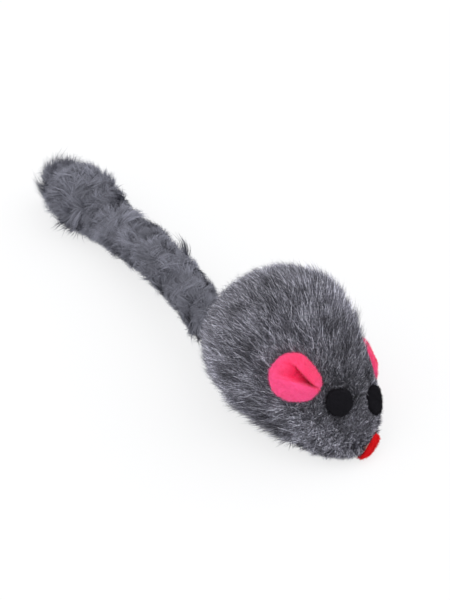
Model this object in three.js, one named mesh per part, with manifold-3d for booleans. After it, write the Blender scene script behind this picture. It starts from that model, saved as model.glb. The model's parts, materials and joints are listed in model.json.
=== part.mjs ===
// Fur mouse cat toy, in millimetres.
// A hard rattle core in two halves sits in a one-piece faux fur cover.
// Felt ears, eyes and nose are glued on, and a fur strip makes the tail.
// Frame: +X towards the nose, +Y towards the mouse's left, +Z up, lying on Z = 0.

import * as THREE from "three";
import { mergeVertices, toCreasedNormals } from "three/addons/utils/BufferGeometryUtils.js";
import Module from "manifold-3d";

const wasm = await Module();
wasm.setup();

// Furry body, over the tips of the pile
const body = {
  rearLength: 20.9,
  frontLength: 29.6,
  halfWidth: 19.5,
  height: 36,
  snoutHalfWidth: 8.7,
  snoutHeight: 7.2,
  shoulderHeightShare: 0.49,
  rearLiftShare: 0.75,
  snoutLiftShare: 0.93,
  restingCut: 0.5,
};

// Powers of the curves that draw the body's outline and the tail's sideways sweep
const curve = {
  taper: 1.26,
  nose: 6.7,
  rump: 2,
  belly: 2.4,
  sweep: 3.7,
};

// Faux fur cover: backing and pile together, thinner under the belly
const cover = {
  thickness: 5,
  bellyThickness: 4,
  bellyFlat: 1.5,
};

// Belly seam, where the cover's two edges meet in a shallow groove
const seam = {
  length: 26,
  centre: 5,
  grooveWidth: 4.6,
  grooveDepth: 1.8,
  slitWidth: 1,
  threadDiameter: 0.7,
  stitches: 6,
};

// Hard plastic core, split below the shoulder with a stepped rim
const core = {
  wall: 1.6,
  splitHeight: 14.2,
  lipHeight: 1.8,
};

// Loose steel balls of the rattle, which roll along the core's flat floor
const rattle = {
  diameter: 4,
  floorEdgeMargin: 1.6,
  restShares: [0.06, 0.16, 0.1],
};

// Tail: a fur strip that starts thin at the body and ends in a tuft
const tail = {
  length: 77,
  rootSideShare: -0.288,
  rootHeight: 11,
  tuftSide: 2.6,
  rootRadius: 5.1,
  radius: 6.4,
  tuftRadius: 10,
  rootFlareShare: 0.15,
  tuftCentreShare: 0.91,
  tuftSpreadShare: 0.165,
  roundEndShare: 0.8,
  settleShare: 0.9,
  bendShares: [0, 0.27, 0.5, 0.73],
  bendLimit: THREE.MathUtils.degToRad(35),
  ballInset: 0.2,
};

// Bare end of the tail strip: a neck through the cover and a patch glued to the core
const tab = {
  width: 8,
  height: 9,
  thickness: 1.3,
  neckWidth: 4,
};

// Felt ears: round discs pinched into a furrow that runs out from the base
const ear = {
  diameter: 12.7,
  felt: 1.2,
  rise: 2.4,
  furrowShare: 0.1,
  steepSideShare: 0.17,
  gentleSideShare: 0.36,
  tipDepthShare: 0.3,
  rightFromEye: 2.3,
  rightTurn: THREE.MathUtils.degToRad(-37.2),
  leftFromEye: 5,
  leftTurn: THREE.MathUtils.degToRad(100),
};

// Felt eyes: plain black dots
const eye = {
  diameter: 6.7,
  felt: 1.4,
  crown: 0.4,
  edge: 0.45,
  rightStationShare: 0.729,
  rightTurn: THREE.MathUtils.degToRad(-12.4),
  leftStationShare: 0.794,
  leftTurn: THREE.MathUtils.degToRad(50.8),
};

// Felt nose: an oval, set a little low and askew on the snout's end
const nose = {
  length: 7.3,
  width: 3.2,
  felt: 1,
  crown: 0.2,
  edge: 0.3,
  stationShare: 0.992,
  turn: THREE.MathUtils.degToRad(103),
  roll: THREE.MathUtils.degToRad(37),
};

// Dabs of hot-melt glue under the felt pieces
const glue = {
  diameter: 2.6,
  depth: 2,
  edge: 0.4,
};

// Clearances: between neighbours, and past a cut's ends
const fit = {
  gap: 0.3,
  overrun: 40,
};

// Facet counts
const facets = {
  coverRings: 30,
  coverSides: 32,
  coreRings: 20,
  coreSides: 24,
  tailRingsPerLength: 8,
  tailSides: 16,
  ballSides: 16,
  dotSides: 24,
  dabSides: 12,
  edgeSteps: 3,
  padSteps: 3,
  earRings: 14,
  earSteps: 10,
  threadSegments: 3,
  stitchSteps: 10,
  grooveSteps: 6,
};

const creaseAngle = THREE.MathUtils.degToRad(40);
const halfTurn = Math.PI;
const fullTurn = 2 * Math.PI;
const searchSteps = 30;
const surveyShare = 0.001;
const up = new THREE.Vector3(0, 0, 1);

const finishes = {
  fur: new THREE.MeshStandardMaterial({ color: 0x5f5f68, roughness: 1 }),
  tailFur: new THREE.MeshStandardMaterial({ color: 0x66676f, roughness: 1 }),
  backing: new THREE.MeshStandardMaterial({ color: 0x4a4a52, roughness: 1 }),
  thread: new THREE.MeshStandardMaterial({ color: 0x3c3c42, roughness: 0.8 }),
  earFelt: new THREE.MeshStandardMaterial({ color: 0xf7457a, roughness: 1 }),
  eyeFelt: new THREE.MeshStandardMaterial({ color: 0x1c1b20, roughness: 1 }),
  noseFelt: new THREE.MeshStandardMaterial({ color: 0xd5161d, roughness: 1 }),
  plastic: new THREE.MeshStandardMaterial({ color: 0xe6e3da, roughness: 0.45 }),
  steel: new THREE.MeshStandardMaterial({ color: 0xb9bcc0, roughness: 0.25, metalness: 1 }),
  glue: new THREE.MeshStandardMaterial({ color: 0xe9e0c4, roughness: 0.35 }),
};

const toy = new THREE.Group();

// A value part of the way from one to another
function between(from, to, share) {
  return from + (to - from) * share;
}

// Egg-shaped skin, drawn in from the tips of the pile, with a snout in proportion
function eggForm(inset, base) {
  const halfWidth = body.halfWidth - inset;
  const height = body.height - inset - base;
  return {
    rear: body.rearLength - inset,
    front: body.frontLength - inset,
    halfWidth,
    height,
    snoutHalfWidth: (body.snoutHalfWidth * halfWidth) / body.halfWidth,
    snoutHeight: (body.snoutHeight * height) / body.height,
    base,
  };
}

// Skin at one depth in the cover, or in the core's wall below it
function layerForm(depth) {
  const belly = cover.bellyThickness - cover.thickness + depth;
  return eggForm(depth, belly - cover.bellyFlat);
}

const furForm = eggForm(0, -body.restingCut);

// Cross-section of a form at one station along X
function sectionAt(form, x) {
  const ahead = x > 0;
  const reach = Math.min(Math.abs(x) / (ahead ? form.front : form.rear), 1);
  const taper = ahead ? reach ** curve.taper : 0;
  const round = Math.sqrt(1 - reach ** (ahead ? curve.nose : curve.rump));
  const fullHeight = between(form.height, form.snoutHeight, taper);
  const height = fullHeight * round;
  const liftShare = ahead ? body.snoutLiftShare : body.rearLiftShare;
  const low = form.base + (fullHeight - height) * body.shoulderHeightShare * liftShare;
  return {
    halfWidth: between(form.halfWidth, form.snoutHalfWidth, taper) * round,
    low,
    shoulder: low + height * body.shoulderHeightShare,
    top: low + height,
  };
}

// Point of a form at one station and one turn from the top towards the mouse's left
function formPoint(form, x, turn) {
  const section = sectionAt(form, x);
  const side = Math.sin(turn);
  const rise = Math.cos(turn);
  const power = rise < 0 ? curve.rump / curve.belly : 1;
  const reach = rise < 0 ? section.shoulder - section.low : section.top - section.shoulder;
  const y = section.halfWidth * Math.sign(side) * Math.abs(side) ** power;
  const z = section.shoulder + reach * Math.sign(rise) * Math.abs(rise) ** power;
  return new THREE.Vector3(x, y, z);
}

// Ends a row of rings in poles, so that an open end closes with a fan
function withPoles(rings) {
  const first = rings[0];
  const last = rings[rings.length - 1];
  const head = first.length > 1 ? [[middleOf(first)]] : [];
  const foot = last.length > 1 ? [[middleOf(last)]] : [];
  return [...head, ...rings, ...foot];
}

// Mean point of a ring
function middleOf(ring) {
  const sum = ring.reduce((total, point) => total.add(point), new THREE.Vector3());
  return sum.divideScalar(ring.length);
}

// Triangles between two rings, either of which may be a pole
function bridgeRings(index, start, here, there) {
  const next = start + here;
  const sides = Math.max(here, there);
  for (let side = 0; side < sides; side += 1) {
    const after = (side + 1) % sides;
    const foot = here > 1 ? start + side : start;
    const head = there > 1 ? next + after : next;
    if (there > 1) {
      index.push(foot, next + side, head);
    }
    if (here > 1) {
      index.push(foot, head, start + after);
    }
  }
}

// Closed skin over a row of rings
function skinOver(rings) {
  const rows = withPoles(rings);
  const index = [];
  let start = 0;
  for (let row = 0; row + 1 < rows.length; row += 1) {
    bridgeRings(index, start, rows[row].length, rows[row + 1].length);
    start += rows[row].length;
  }
  const geometry = new THREE.BufferGeometry().setFromPoints(rows.flat());
  geometry.setIndex(index);
  return geometry;
}

// Triangles of a merged mesh whose three corners differ
function soundTriangles(index) {
  const kept = [];
  for (let i = 0; i < index.length; i += 3) {
    const [a, b, c] = [index[i], index[i + 1], index[i + 2]];
    if (a !== b && b !== c && c !== a) {
      kept.push(a, b, c);
    }
  }
  return new Uint32Array(kept);
}

// Solid of a closed geometry, for cuts and joins
function solidOf(geometry) {
  const bare = geometry.clone();
  bare.deleteAttribute("normal");
  bare.deleteAttribute("uv");
  const merged = mergeVertices(bare);
  const mesh = new wasm.Mesh({
    numProp: 3,
    vertProperties: merged.attributes.position.array,
    triVerts: soundTriangles(merged.index.array),
  });
  return new wasm.Manifold(mesh);
}

// Geometry of a solid, with its sharp edges kept sharp
function geometryOf(solid) {
  const mesh = solid.getMesh();
  const geometry = new THREE.BufferGeometry();
  geometry.setAttribute("position", new THREE.BufferAttribute(mesh.vertProperties, mesh.numProp));
  geometry.setIndex(new THREE.BufferAttribute(mesh.triVerts, 1));
  return toCreasedNormals(geometry, creaseAngle);
}

// Named sub-part, hung in a group of the toy
function addPart(name, geometry, finish, parent = toy) {
  const mesh = new THREE.Mesh(geometry, finish);
  mesh.name = name;
  parent.add(mesh);
}

// Solid of an egg form, from its rear pole to its nose pole
function formSolid(form, ringCount, sides) {
  const rings = [];
  const rearCount = Math.round((ringCount * form.rear) / (form.rear + form.front));
  for (let i = -rearCount; i <= ringCount - rearCount; i += 1) {
    const count = i < 0 ? rearCount : ringCount - rearCount;
    const reach = Math.sin(((i / count) * halfTurn) / 2);
    const pole = Math.abs(i) === count;
    rings.push(formRing(form, reach * (i < 0 ? form.rear : form.front), pole ? 1 : sides));
  }
  return solidOf(skinOver(rings));
}

// Ring of points round a form at one station
function formRing(form, x, sides) {
  return Array.from({ length: sides }, (_, side) => formPoint(form, x, (side / sides) * fullTurn));
}

// Box solid between two corners
function boxSolid(low, high) {
  const size = high.clone().sub(low);
  const geometry = new THREE.BoxGeometry(size.x, size.y, size.z);
  geometry.translate((low.x + high.x) / 2, (low.y + high.y) / 2, (low.z + high.z) / 2);
  return solidOf(geometry);
}

// Everything of the toy's length and width between two heights
function layerBetween(low, high) {
  const reach = tail.length + body.frontLength + fit.overrun;
  return boxSolid(new THREE.Vector3(-reach, -reach, low), new THREE.Vector3(reach, reach, high));
}

// A solid cut flat from below at one height
function cutFlat(solid, height) {
  return solid.subtract(layerBetween(height - fit.overrun, height));
}

// Egg-shaped body at one depth, with a flat floor
function chamber(depth) {
  const floor = cover.bellyThickness - cover.thickness + depth;
  return cutFlat(formSolid(layerForm(depth), facets.coreRings, facets.coreSides), floor);
}

// Ball solid
function ballSolid(centre, radius) {
  const geometry = new THREE.SphereGeometry(radius, facets.ballSides, facets.ballSides / 2);
  geometry.translate(centre.x, centre.y, centre.z);
  return solidOf(geometry);
}

// Height of the tail's lifted root above where it lies, at one share of its length
function rootRise(share) {
  const settled = Math.min(share / tail.settleShare, 1);
  const left = 1 - settled;
  return (tail.rootHeight - restingHeight(0)) * left * left * (1 + 2 * settled);
}

// Tail radius over its pile at one share of its length
function tailRadius(share) {
  const flare = 1 - Math.exp(-share / tail.rootFlareShare);
  const tuft = Math.exp(-(((share - tail.tuftCentreShare) / tail.tuftSpreadShare) ** 2));
  const plain = between(tail.rootRadius, tail.radius, flare);
  const past = Math.max(share - tail.roundEndShare, 0) / (1 - tail.roundEndShare);
  return (plain + (tail.tuftRadius - tail.radius) * tuft) * Math.sqrt(Math.max(1 - past ** 2, 0));
}

// Height of the tail's middle where it lies flat on the floor
function restingHeight(share) {
  return tailRadius(Math.min(share, tail.roundEndShare)) - body.restingCut;
}

const rootSide = body.halfWidth * tail.rootSideShare;
const rootHeading = Math.atan2(curve.sweep * (tail.tuftSide - rootSide), tail.length);

// Distance from a bend's centre to the rim behind it, which lets the rim swing clear
function rimStandoff(radius) {
  return radius * Math.sin(tail.bendLimit) + fit.gap;
}

// How far ahead of the root's ball the side behind its socket swings at the bend's limit
function rootSideReach() {
  const turn = Math.abs(rootHeading) + tail.bendLimit;
  const behind = Math.sqrt((tail.rootRadius + fit.gap) ** 2 - tail.rootRadius ** 2);
  return tail.rootRadius * Math.sin(turn) - behind * Math.cos(turn);
}

const tailStart = -furForm.rear - rootSideReach() - fit.gap;

// Whether a point lies inside a form
function insideForm(form, x, y, z) {
  const section = sectionAt(form, x);
  const above = z > section.shoulder;
  const reach = above ? section.top - section.shoulder : section.shoulder - section.low;
  const power = above ? curve.rump : curve.belly;
  const across = Math.abs(y) / section.halfWidth;
  const along = Math.abs(z - section.shoulder) / reach;
  return across ** power + along ** power < 1;
}

// Middle line of the tail
function tailPoint(share) {
  const side = 1 - (1 - share) ** curve.sweep;
  return new THREE.Vector3(
    tailStart - tail.length * share,
    between(rootSide, tail.tuftSide, side),
    restingHeight(share) + rootRise(share),
  );
}

// Direction of the tail's middle line, away from the body
function tailDirection(share) {
  const before = tailPoint(Math.max(share - surveyShare, 0));
  const after = tailPoint(Math.min(share + surveyShare, 1));
  return after.sub(before).normalize();
}

// Ring of the tail, square to its middle line
function tailRing(share) {
  if (share === 1) {
    return [tailPoint(share)];
  }
  const direction = tailDirection(share);
  const across = new THREE.Vector3().crossVectors(up, direction).normalize();
  const above = new THREE.Vector3().crossVectors(direction, across);
  const middle = tailPoint(share);
  const radius = tailRadius(share);
  return Array.from({ length: facets.tailSides }, (_, side) => {
    const turn = (side / facets.tailSides) * fullTurn;
    const point = middle.clone().addScaledVector(above, radius * Math.cos(turn));
    return point.addScaledVector(across, radius * Math.sin(turn));
  });
}

// Stretch of the tail between two shares of its length
function tailStretch(from, to) {
  const rings = [];
  for (let i = 0; i <= facets.tailRingsPerLength; i += 1) {
    const step = i / facets.tailRingsPerLength;
    const eased = to === 1 ? Math.sin((step * halfTurn) / 2) : step;
    rings.push(tailRing(i === facets.tailRingsPerLength ? to : between(from, to, eased)));
  }
  return solidOf(skinOver(rings));
}

// Ball at a bend of the tail, larger than the tail there by a growth
function bendBall(bend, growth) {
  const share = tail.bendShares[bend];
  return ballSolid(tailPoint(share), tailRadius(share) + growth);
}

// First length of the tail, with a round end in the cover's socket
function rootLength() {
  return tailStretch(0, tail.bendShares[1]).add(bendBall(0, -tail.ballInset));
}

// Later length of the tail, cupped over the ball of the length before it
function cuppedLength(bend) {
  const start = tail.bendShares[bend];
  const end = tail.bendShares[bend + 1] ?? 1;
  const rim = start + rimStandoff(tailRadius(start)) / tail.length;
  return tailStretch(rim, end).subtract(bendBall(bend, fit.gap - tail.ballInset));
}

// One length of the tail, with a ball for the next
function tailLength(bend) {
  const next = bend + 1;
  const solid = bend === 0 ? rootLength() : cuppedLength(bend);
  const ended = next < tail.bendShares.length ? solid.add(bendBall(next, -tail.ballInset)) : solid;
  return cutFlat(ended, 0);
}

// Box along the tail strip's bare end, grown by a clearance
function tabBox(width, height, from, growth) {
  const low = new THREE.Vector3(from, -width / 2 - growth, -height / 2 - growth);
  const high = new THREE.Vector3(0, width / 2 + growth, height / 2 + growth);
  const centre = new THREE.Vector3(0, rootSide, tail.rootHeight);
  return boxSolid(low.add(centre), high.add(centre));
}

// Room for the strip's bare end: a neck through the cover and a patch over the core
function tabRoom(growth) {
  const patchSkin = chamber(cover.thickness - tab.thickness - growth);
  const patch = patchSkin.intersect(tabBox(tab.width, tab.height, -furForm.rear, growth));
  return patch.add(tabBox(tab.neckWidth, tab.thickness, tailStart, growth));
}

// The strip's bare end, which stops short of the core and of the tail's first ball
function tabSolid() {
  return tabRoom(0).subtract(chamber(cover.thickness)).subtract(bendBall(0, fit.gap));
}

// Frame on the cover at one station and turn: Z square off the fur, X towards the rear
function seatOn(x, turn) {
  const point = formPoint(furForm, x, turn);
  const along = formPoint(furForm, x + surveyShare * furForm.front, turn).sub(point);
  const round = formPoint(furForm, x, turn + surveyShare).sub(point);
  const normal = along.clone().cross(round).normalize();
  const rearward = along.negate().normalize();
  const seat = new THREE.Group();
  const sideways = new THREE.Vector3().crossVectors(normal, rearward);
  const basis = new THREE.Matrix4().makeBasis(rearward, sideways, normal);
  seat.quaternion.setFromRotationMatrix(basis);
  seat.position.copy(point);
  return seat;
}

// Frame on the end of the snout, level across it and then rolled as the nose is
function noseSeat() {
  const seat = seatOn(nose.stationShare * furForm.front, nose.turn);
  const normal = new THREE.Vector3(0, 0, 1).applyQuaternion(seat.quaternion);
  const side = new THREE.Vector3().crossVectors(up, normal).normalize();
  const above = new THREE.Vector3().crossVectors(normal, side);
  seat.quaternion.setFromRotationMatrix(new THREE.Matrix4().makeBasis(side, above, normal));
  seat.rotateZ(nose.roll);
  return seat;
}

// Station behind an eye where an ear's edge lies the given length from the eye's edge
function stationBehind(eyeSeat, turn, fromEye) {
  const apart = (ear.diameter + eye.diameter) / 2 + fromEye;
  let near = eyeSeat.position.x;
  let far = 0;
  for (let i = 0; i < searchSteps; i += 1) {
    const middle = (near + far) / 2;
    if (formPoint(furForm, middle, turn).distanceTo(eyeSeat.position) < apart) {
      near = middle;
    } else {
      far = middle;
    }
  }
  return near;
}

// Frame of an ear behind its eye, with X pointing away from the eye
function earSeat(eyeSeat, turn, fromEye) {
  const seat = seatOn(stationBehind(eyeSeat, turn, fromEye), turn);
  seat.updateMatrixWorld();
  const away = seat.worldToLocal(eyeSeat.position.clone()).negate();
  seat.rotateZ(Math.atan2(away.y, away.x));
  return seat;
}

// Seats of the felt pieces
function layOutSeats() {
  const eyeRight = seatOn(eye.rightStationShare * furForm.front, eye.rightTurn);
  const eyeLeft = seatOn(eye.leftStationShare * furForm.front, eye.leftTurn);
  const laid = {
    eyeRight,
    eyeLeft,
    earRight: earSeat(eyeRight, ear.rightTurn, ear.rightFromEye),
    earLeft: earSeat(eyeLeft, ear.leftTurn, ear.leftFromEye),
    nose: noseSeat(),
  };
  Object.values(laid).forEach((seat) => seat.updateMatrixWorld());
  return laid;
}

const seats = layOutSeats();

// Level of the fur at one place beside a seat, in the seat's frame
function furLevel(seat, x, y) {
  let inside = -body.snoutHalfWidth;
  let outside = fit.gap;
  for (let i = 0; i < searchSteps; i += 1) {
    const middle = (inside + outside) / 2;
    const point = new THREE.Vector3(x, y, middle).applyMatrix4(seat.matrixWorld);
    if (insideForm(furForm, point.x, point.y, point.z)) {
      inside = middle;
    } else {
      outside = middle;
    }
  }
  return inside;
}

// Lowers a geometry of a seat's frame onto the fur, which falls away round the seat
function drapedOn(seat, geometry) {
  const places = geometry.attributes.position;
  for (let i = 0; i < places.count; i += 1) {
    places.setZ(i, places.getZ(i) + furLevel(seat, places.getX(i), places.getY(i)));
  }
  return geometry;
}

// Profile of a round pad from its underside to its crown, with a rounded edge
function padProfile(radius, thickness, crown, edge, low) {
  const points = [];
  for (let i = 0; i <= facets.padSteps; i += 1) {
    points.push(new THREE.Vector2((radius * i) / facets.padSteps, low));
  }
  for (let i = 0; i <= facets.edgeSteps; i += 1) {
    const turn = ((i / facets.edgeSteps) * halfTurn) / 2;
    const across = radius - edge + edge * Math.cos(turn);
    points.push(new THREE.Vector2(across, low + thickness - edge + edge * Math.sin(turn)));
  }
  for (let i = facets.padSteps - 1; i >= 0; i -= 1) {
    const share = i / facets.padSteps;
    points.push(new THREE.Vector2((radius - edge) * share, low + thickness + crown * (1 - share ** 2)));
  }
  return points;
}

// Round pad that stands on its seat, with Z as its axis
function padGeometry(profile, sides) {
  const geometry = new THREE.LatheGeometry(profile, sides);
  geometry.rotateX(halfTurn / 2);
  return geometry;
}

// Where each dab of glue sits in its seat's frame
const dabs = {
  ear_glue_right: { seat: seats.earRight, x: (glue.diameter - ear.diameter) / 2 },
  ear_glue_left: { seat: seats.earLeft, x: (glue.diameter - ear.diameter) / 2 },
  eye_glue_right: { seat: seats.eyeRight, x: 0 },
  eye_glue_left: { seat: seats.eyeLeft, x: 0 },
  nose_glue: { seat: seats.nose, x: 0 },
};

// Dab of glue in its seat's frame, grown by a clearance where it makes a pocket
function dabGeometry(dab, growth) {
  const radius = glue.diameter / 2 + growth;
  const low = -glue.depth - growth;
  const geometry = padGeometry(padProfile(radius, growth - low, 0, glue.edge, low), facets.dabSides);
  geometry.translate(dab.x, 0, 0);
  return drapedOn(dab.seat, geometry);
}

// Pocket that a dab of glue makes in the fur
function dabPocket(dab) {
  return solidOf(dabGeometry(dab, fit.gap).applyMatrix4(dab.seat.matrixWorld));
}

// Slot with round ends along the belly, cut from below to one height
function bellySlot(width, height) {
  const reach = (seam.length - width) / 2;
  const outline = new THREE.Shape();
  outline.absarc(seam.centre + reach, 0, width / 2, -halfTurn / 2, halfTurn / 2, false);
  outline.absarc(seam.centre - reach, 0, width / 2, halfTurn / 2, -halfTurn / 2, false);
  const geometry = new THREE.ExtrudeGeometry(outline, {
    depth: height + body.restingCut,
    bevelEnabled: false,
    curveSegments: facets.grooveSteps,
  });
  geometry.translate(0, 0, -body.restingCut);
  return solidOf(geometry);
}

// Fur cover: the whole coat with its chamber, seam, tail socket and glue pockets
function coverSolid() {
  let solid = cutFlat(formSolid(furForm, facets.coverRings, facets.coverSides), 0);
  solid = solid.subtract(chamber(cover.thickness));
  solid = solid.subtract(bellySlot(seam.grooveWidth, seam.grooveDepth));
  solid = solid.subtract(bellySlot(seam.slitWidth, cover.bellyThickness + fit.gap));
  solid = solid.subtract(bendBall(0, fit.gap));
  solid = solid.subtract(tabRoom(fit.gap));
  for (const dab of Object.values(dabs)) {
    solid = solid.subtract(dabPocket(dab));
  }
  return solid;
}

// Zigzag of the seam's thread inside its groove
class StitchLine extends THREE.Curve {
  getPoint(share) {
    const swing = (seam.grooveWidth - seam.threadDiameter) / 2 - fit.gap;
    const run = seam.length - seam.grooveWidth;
    const x = seam.centre + run * (share - 1 / 2);
    const y = swing * Math.sin(share * seam.stitches * fullTurn);
    return new THREE.Vector3(x, y, seam.grooveDepth / 2);
  }
}

// Thread that closes the belly
function threadGeometry() {
  const section = new THREE.Shape();
  section.absarc(0, 0, seam.threadDiameter / 2, 0, fullTurn, false);
  return new THREE.ExtrudeGeometry(section, {
    extrudePath: new StitchLine(),
    steps: seam.stitches * facets.stitchSteps,
    curveSegments: facets.threadSegments,
    bevelEnabled: false,
  });
}

const coreDepth = cover.thickness + fit.gap;

// Core wall between its outer and inner faces
function coreWall() {
  return chamber(coreDepth).subtract(chamber(coreDepth + core.wall));
}

// Ring of the core's wall that makes the lower shell's lip, grown to make its rebate
function rimRing(growth) {
  const depth = coreDepth + (core.wall + fit.gap) / 2 - growth;
  const band = layerBetween(core.splitHeight - growth, core.splitHeight + core.lipHeight + growth);
  return chamber(depth).intersect(band);
}

// Upper half of the core, hollowed at its rim for the lip
function upperShell() {
  const above = layerBetween(core.splitHeight + fit.gap, body.height);
  return coreWall().intersect(above).subtract(rimRing(fit.gap));
}

// Lower half of the core, with its lip standing inside the upper half
function lowerShell() {
  const below = layerBetween(0, core.splitHeight);
  return coreWall().intersect(below.add(rimRing(0)));
}

// Half the width of the core's flat floor at one station
function coreFloorHalfWidth(x, floor) {
  const section = sectionAt(layerForm(coreDepth + core.wall), x);
  const level = (section.shoulder - floor) / (section.shoulder - section.low);
  return section.halfWidth * (1 - level ** curve.belly) ** (1 / curve.belly);
}

// Ball of the rattle, lying on the core's floor
function rattleBall(number) {
  const radius = rattle.diameter / 2;
  const floor = cover.bellyThickness + fit.gap + core.wall;
  const x = rattle.restShares[number] * body.frontLength;
  const spread = coreFloorHalfWidth(x, floor) - rattle.floorEdgeMargin;
  const middle = (rattle.restShares.length - 1) / 2;
  const side = (number / middle - 1) * spread;
  return ballSolid(new THREE.Vector3(x, side, floor + fit.gap + radius), radius);
}

// Bump of the ear's felt over its seat, low at the rim and in the furrow
function earRise(x, y, side) {
  const radius = ear.diameter / 2;
  const spread = Math.min(Math.hypot(x, y) / radius, 1);
  const across = (y * side) / radius - ear.furrowShare;
  const width = across < 0 ? ear.steepSideShare : ear.gentleSideShare;
  const along = (1 - x / radius) / 2;
  const depth = between(ear.tipDepthShare, 1, along);
  const furrow = depth * Math.exp(-((across / width) ** 2));
  return ear.rise * (1 - spread ** 2) * (1 - furrow);
}

// Ring across an ear: over its upper face and back along its underside
function earRing(x, side) {
  const radius = ear.diameter / 2;
  const half = Math.sqrt(Math.max(radius ** 2 - x ** 2, 0));
  const over = [];
  const under = [];
  for (let i = 0; i <= facets.earSteps; i += 1) {
    const y = half * -Math.cos((i / facets.earSteps) * halfTurn);
    const low = fit.gap + earRise(x, y, side);
    over.push(new THREE.Vector3(x, y, low + ear.felt));
    under.unshift(new THREE.Vector3(x, y, low));
  }
  return [...over, ...under];
}

// Pinched felt disc lying on the fur, with its base at -X and its tip at +X
function earGeometry(seat, side) {
  const rings = [];
  const inset = halfTurn / facets.earRings / 2;
  for (let i = 0; i <= facets.earRings; i += 1) {
    const turn = between(inset, halfTurn - inset, i / facets.earRings);
    rings.push(earRing((ear.diameter / 2) * -Math.cos(turn), side));
  }
  return drapedOn(seat, skinOver(rings));
}

// Oval of felt for the nose, lying on the snout's end
function noseGeometry(seat) {
  const profile = padProfile(nose.length / 2, nose.felt, nose.crown, nose.edge, fit.gap);
  const geometry = padGeometry(profile, facets.dotSides);
  geometry.scale(1, nose.width / nose.length, 1);
  return drapedOn(seat, geometry);
}

// Eye dot, lying on the fur
function eyeGeometry(seat) {
  const profile = padProfile(eye.diameter / 2, eye.felt, eye.crown, eye.edge, fit.gap);
  return drapedOn(seat, padGeometry(profile, facets.dotSides));
}

// Piece that sits on a seat of the face
function addOnSeat(name, geometry, finish, seat) {
  addPart(name, geometryOf(solidOf(geometry)), finish, seat);
}

// Puts the parts of the body together
function addBody() {
  addPart("core_lower_shell", geometryOf(lowerShell()), finishes.plastic);
  addPart("core_upper_shell", geometryOf(upperShell()), finishes.plastic);
  rattle.restShares.forEach((_, number) => {
    addPart(`rattle_ball_${number + 1}`, geometryOf(rattleBall(number)), finishes.steel);
  });
  addPart("fur_cover", geometryOf(coverSolid()), finishes.fur);
  addPart("belly_seam_thread", geometryOf(solidOf(threadGeometry())), finishes.thread);
}

// Puts the tail's strip and its furry lengths in place
function addTail() {
  addPart("tail_tab", geometryOf(tabSolid()), finishes.backing);
  ["tail_root", "tail_middle", "tail_outer", "tail_tuft"].forEach((name, bend) => {
    addPart(name, geometryOf(tailLength(bend)), finishes.tailFur);
  });
}

// Puts the felt pieces on their seats, each over its dab of glue
function addFace() {
  const { earRight, earLeft, eyeRight, eyeLeft } = seats;
  toy.add(...Object.values(seats));
  addOnSeat("ear_right", earGeometry(earRight, 1), finishes.earFelt, earRight);
  addOnSeat("ear_left", earGeometry(earLeft, -1), finishes.earFelt, earLeft);
  addOnSeat("eye_right", eyeGeometry(eyeRight), finishes.eyeFelt, eyeRight);
  addOnSeat("eye_left", eyeGeometry(eyeLeft), finishes.eyeFelt, eyeLeft);
  addOnSeat("nose", noseGeometry(seats.nose), finishes.noseFelt, seats.nose);
  for (const [name, dab] of Object.entries(dabs)) {
    addOnSeat(name, dabGeometry(dab, 0), finishes.glue, dab.seat);
  }
}

// Moves the toy so that its origin is under the middle of its outline
function centreOnFloor() {
  const box = new THREE.Box3().setFromObject(toy, true);
  const centre = box.getCenter(new THREE.Vector3());
  toy.position.set(-centre.x, -centre.y, -box.min.z);
}

addBody();
addTail();
addFace();
centreOnFloor();

export default toy;
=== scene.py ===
"""Looks of a fur mouse cat toy: its coat, felt pieces, hidden core and studio.

Lengths are in millimetres. Angles are in degrees where they are fields, and in radians where
functions take or give them, unless a name or a docstring says otherwise. Places are in the
mouse's frame: +X towards the nose, +Y towards the mouse's left, +Z up, with X = 0 at its widest
station and Z = 0 on the floor. The toy's own frame is the same, moved along the floor.
"""

from __future__ import annotations

import json
import logging
import math
from abc import ABC, abstractmethod
from dataclasses import dataclass, field
from enum import Enum
from typing import Any

import bpy
import numpy as np
from mathutils import Matrix, Vector
from mathutils.kdtree import KDTree

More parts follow.
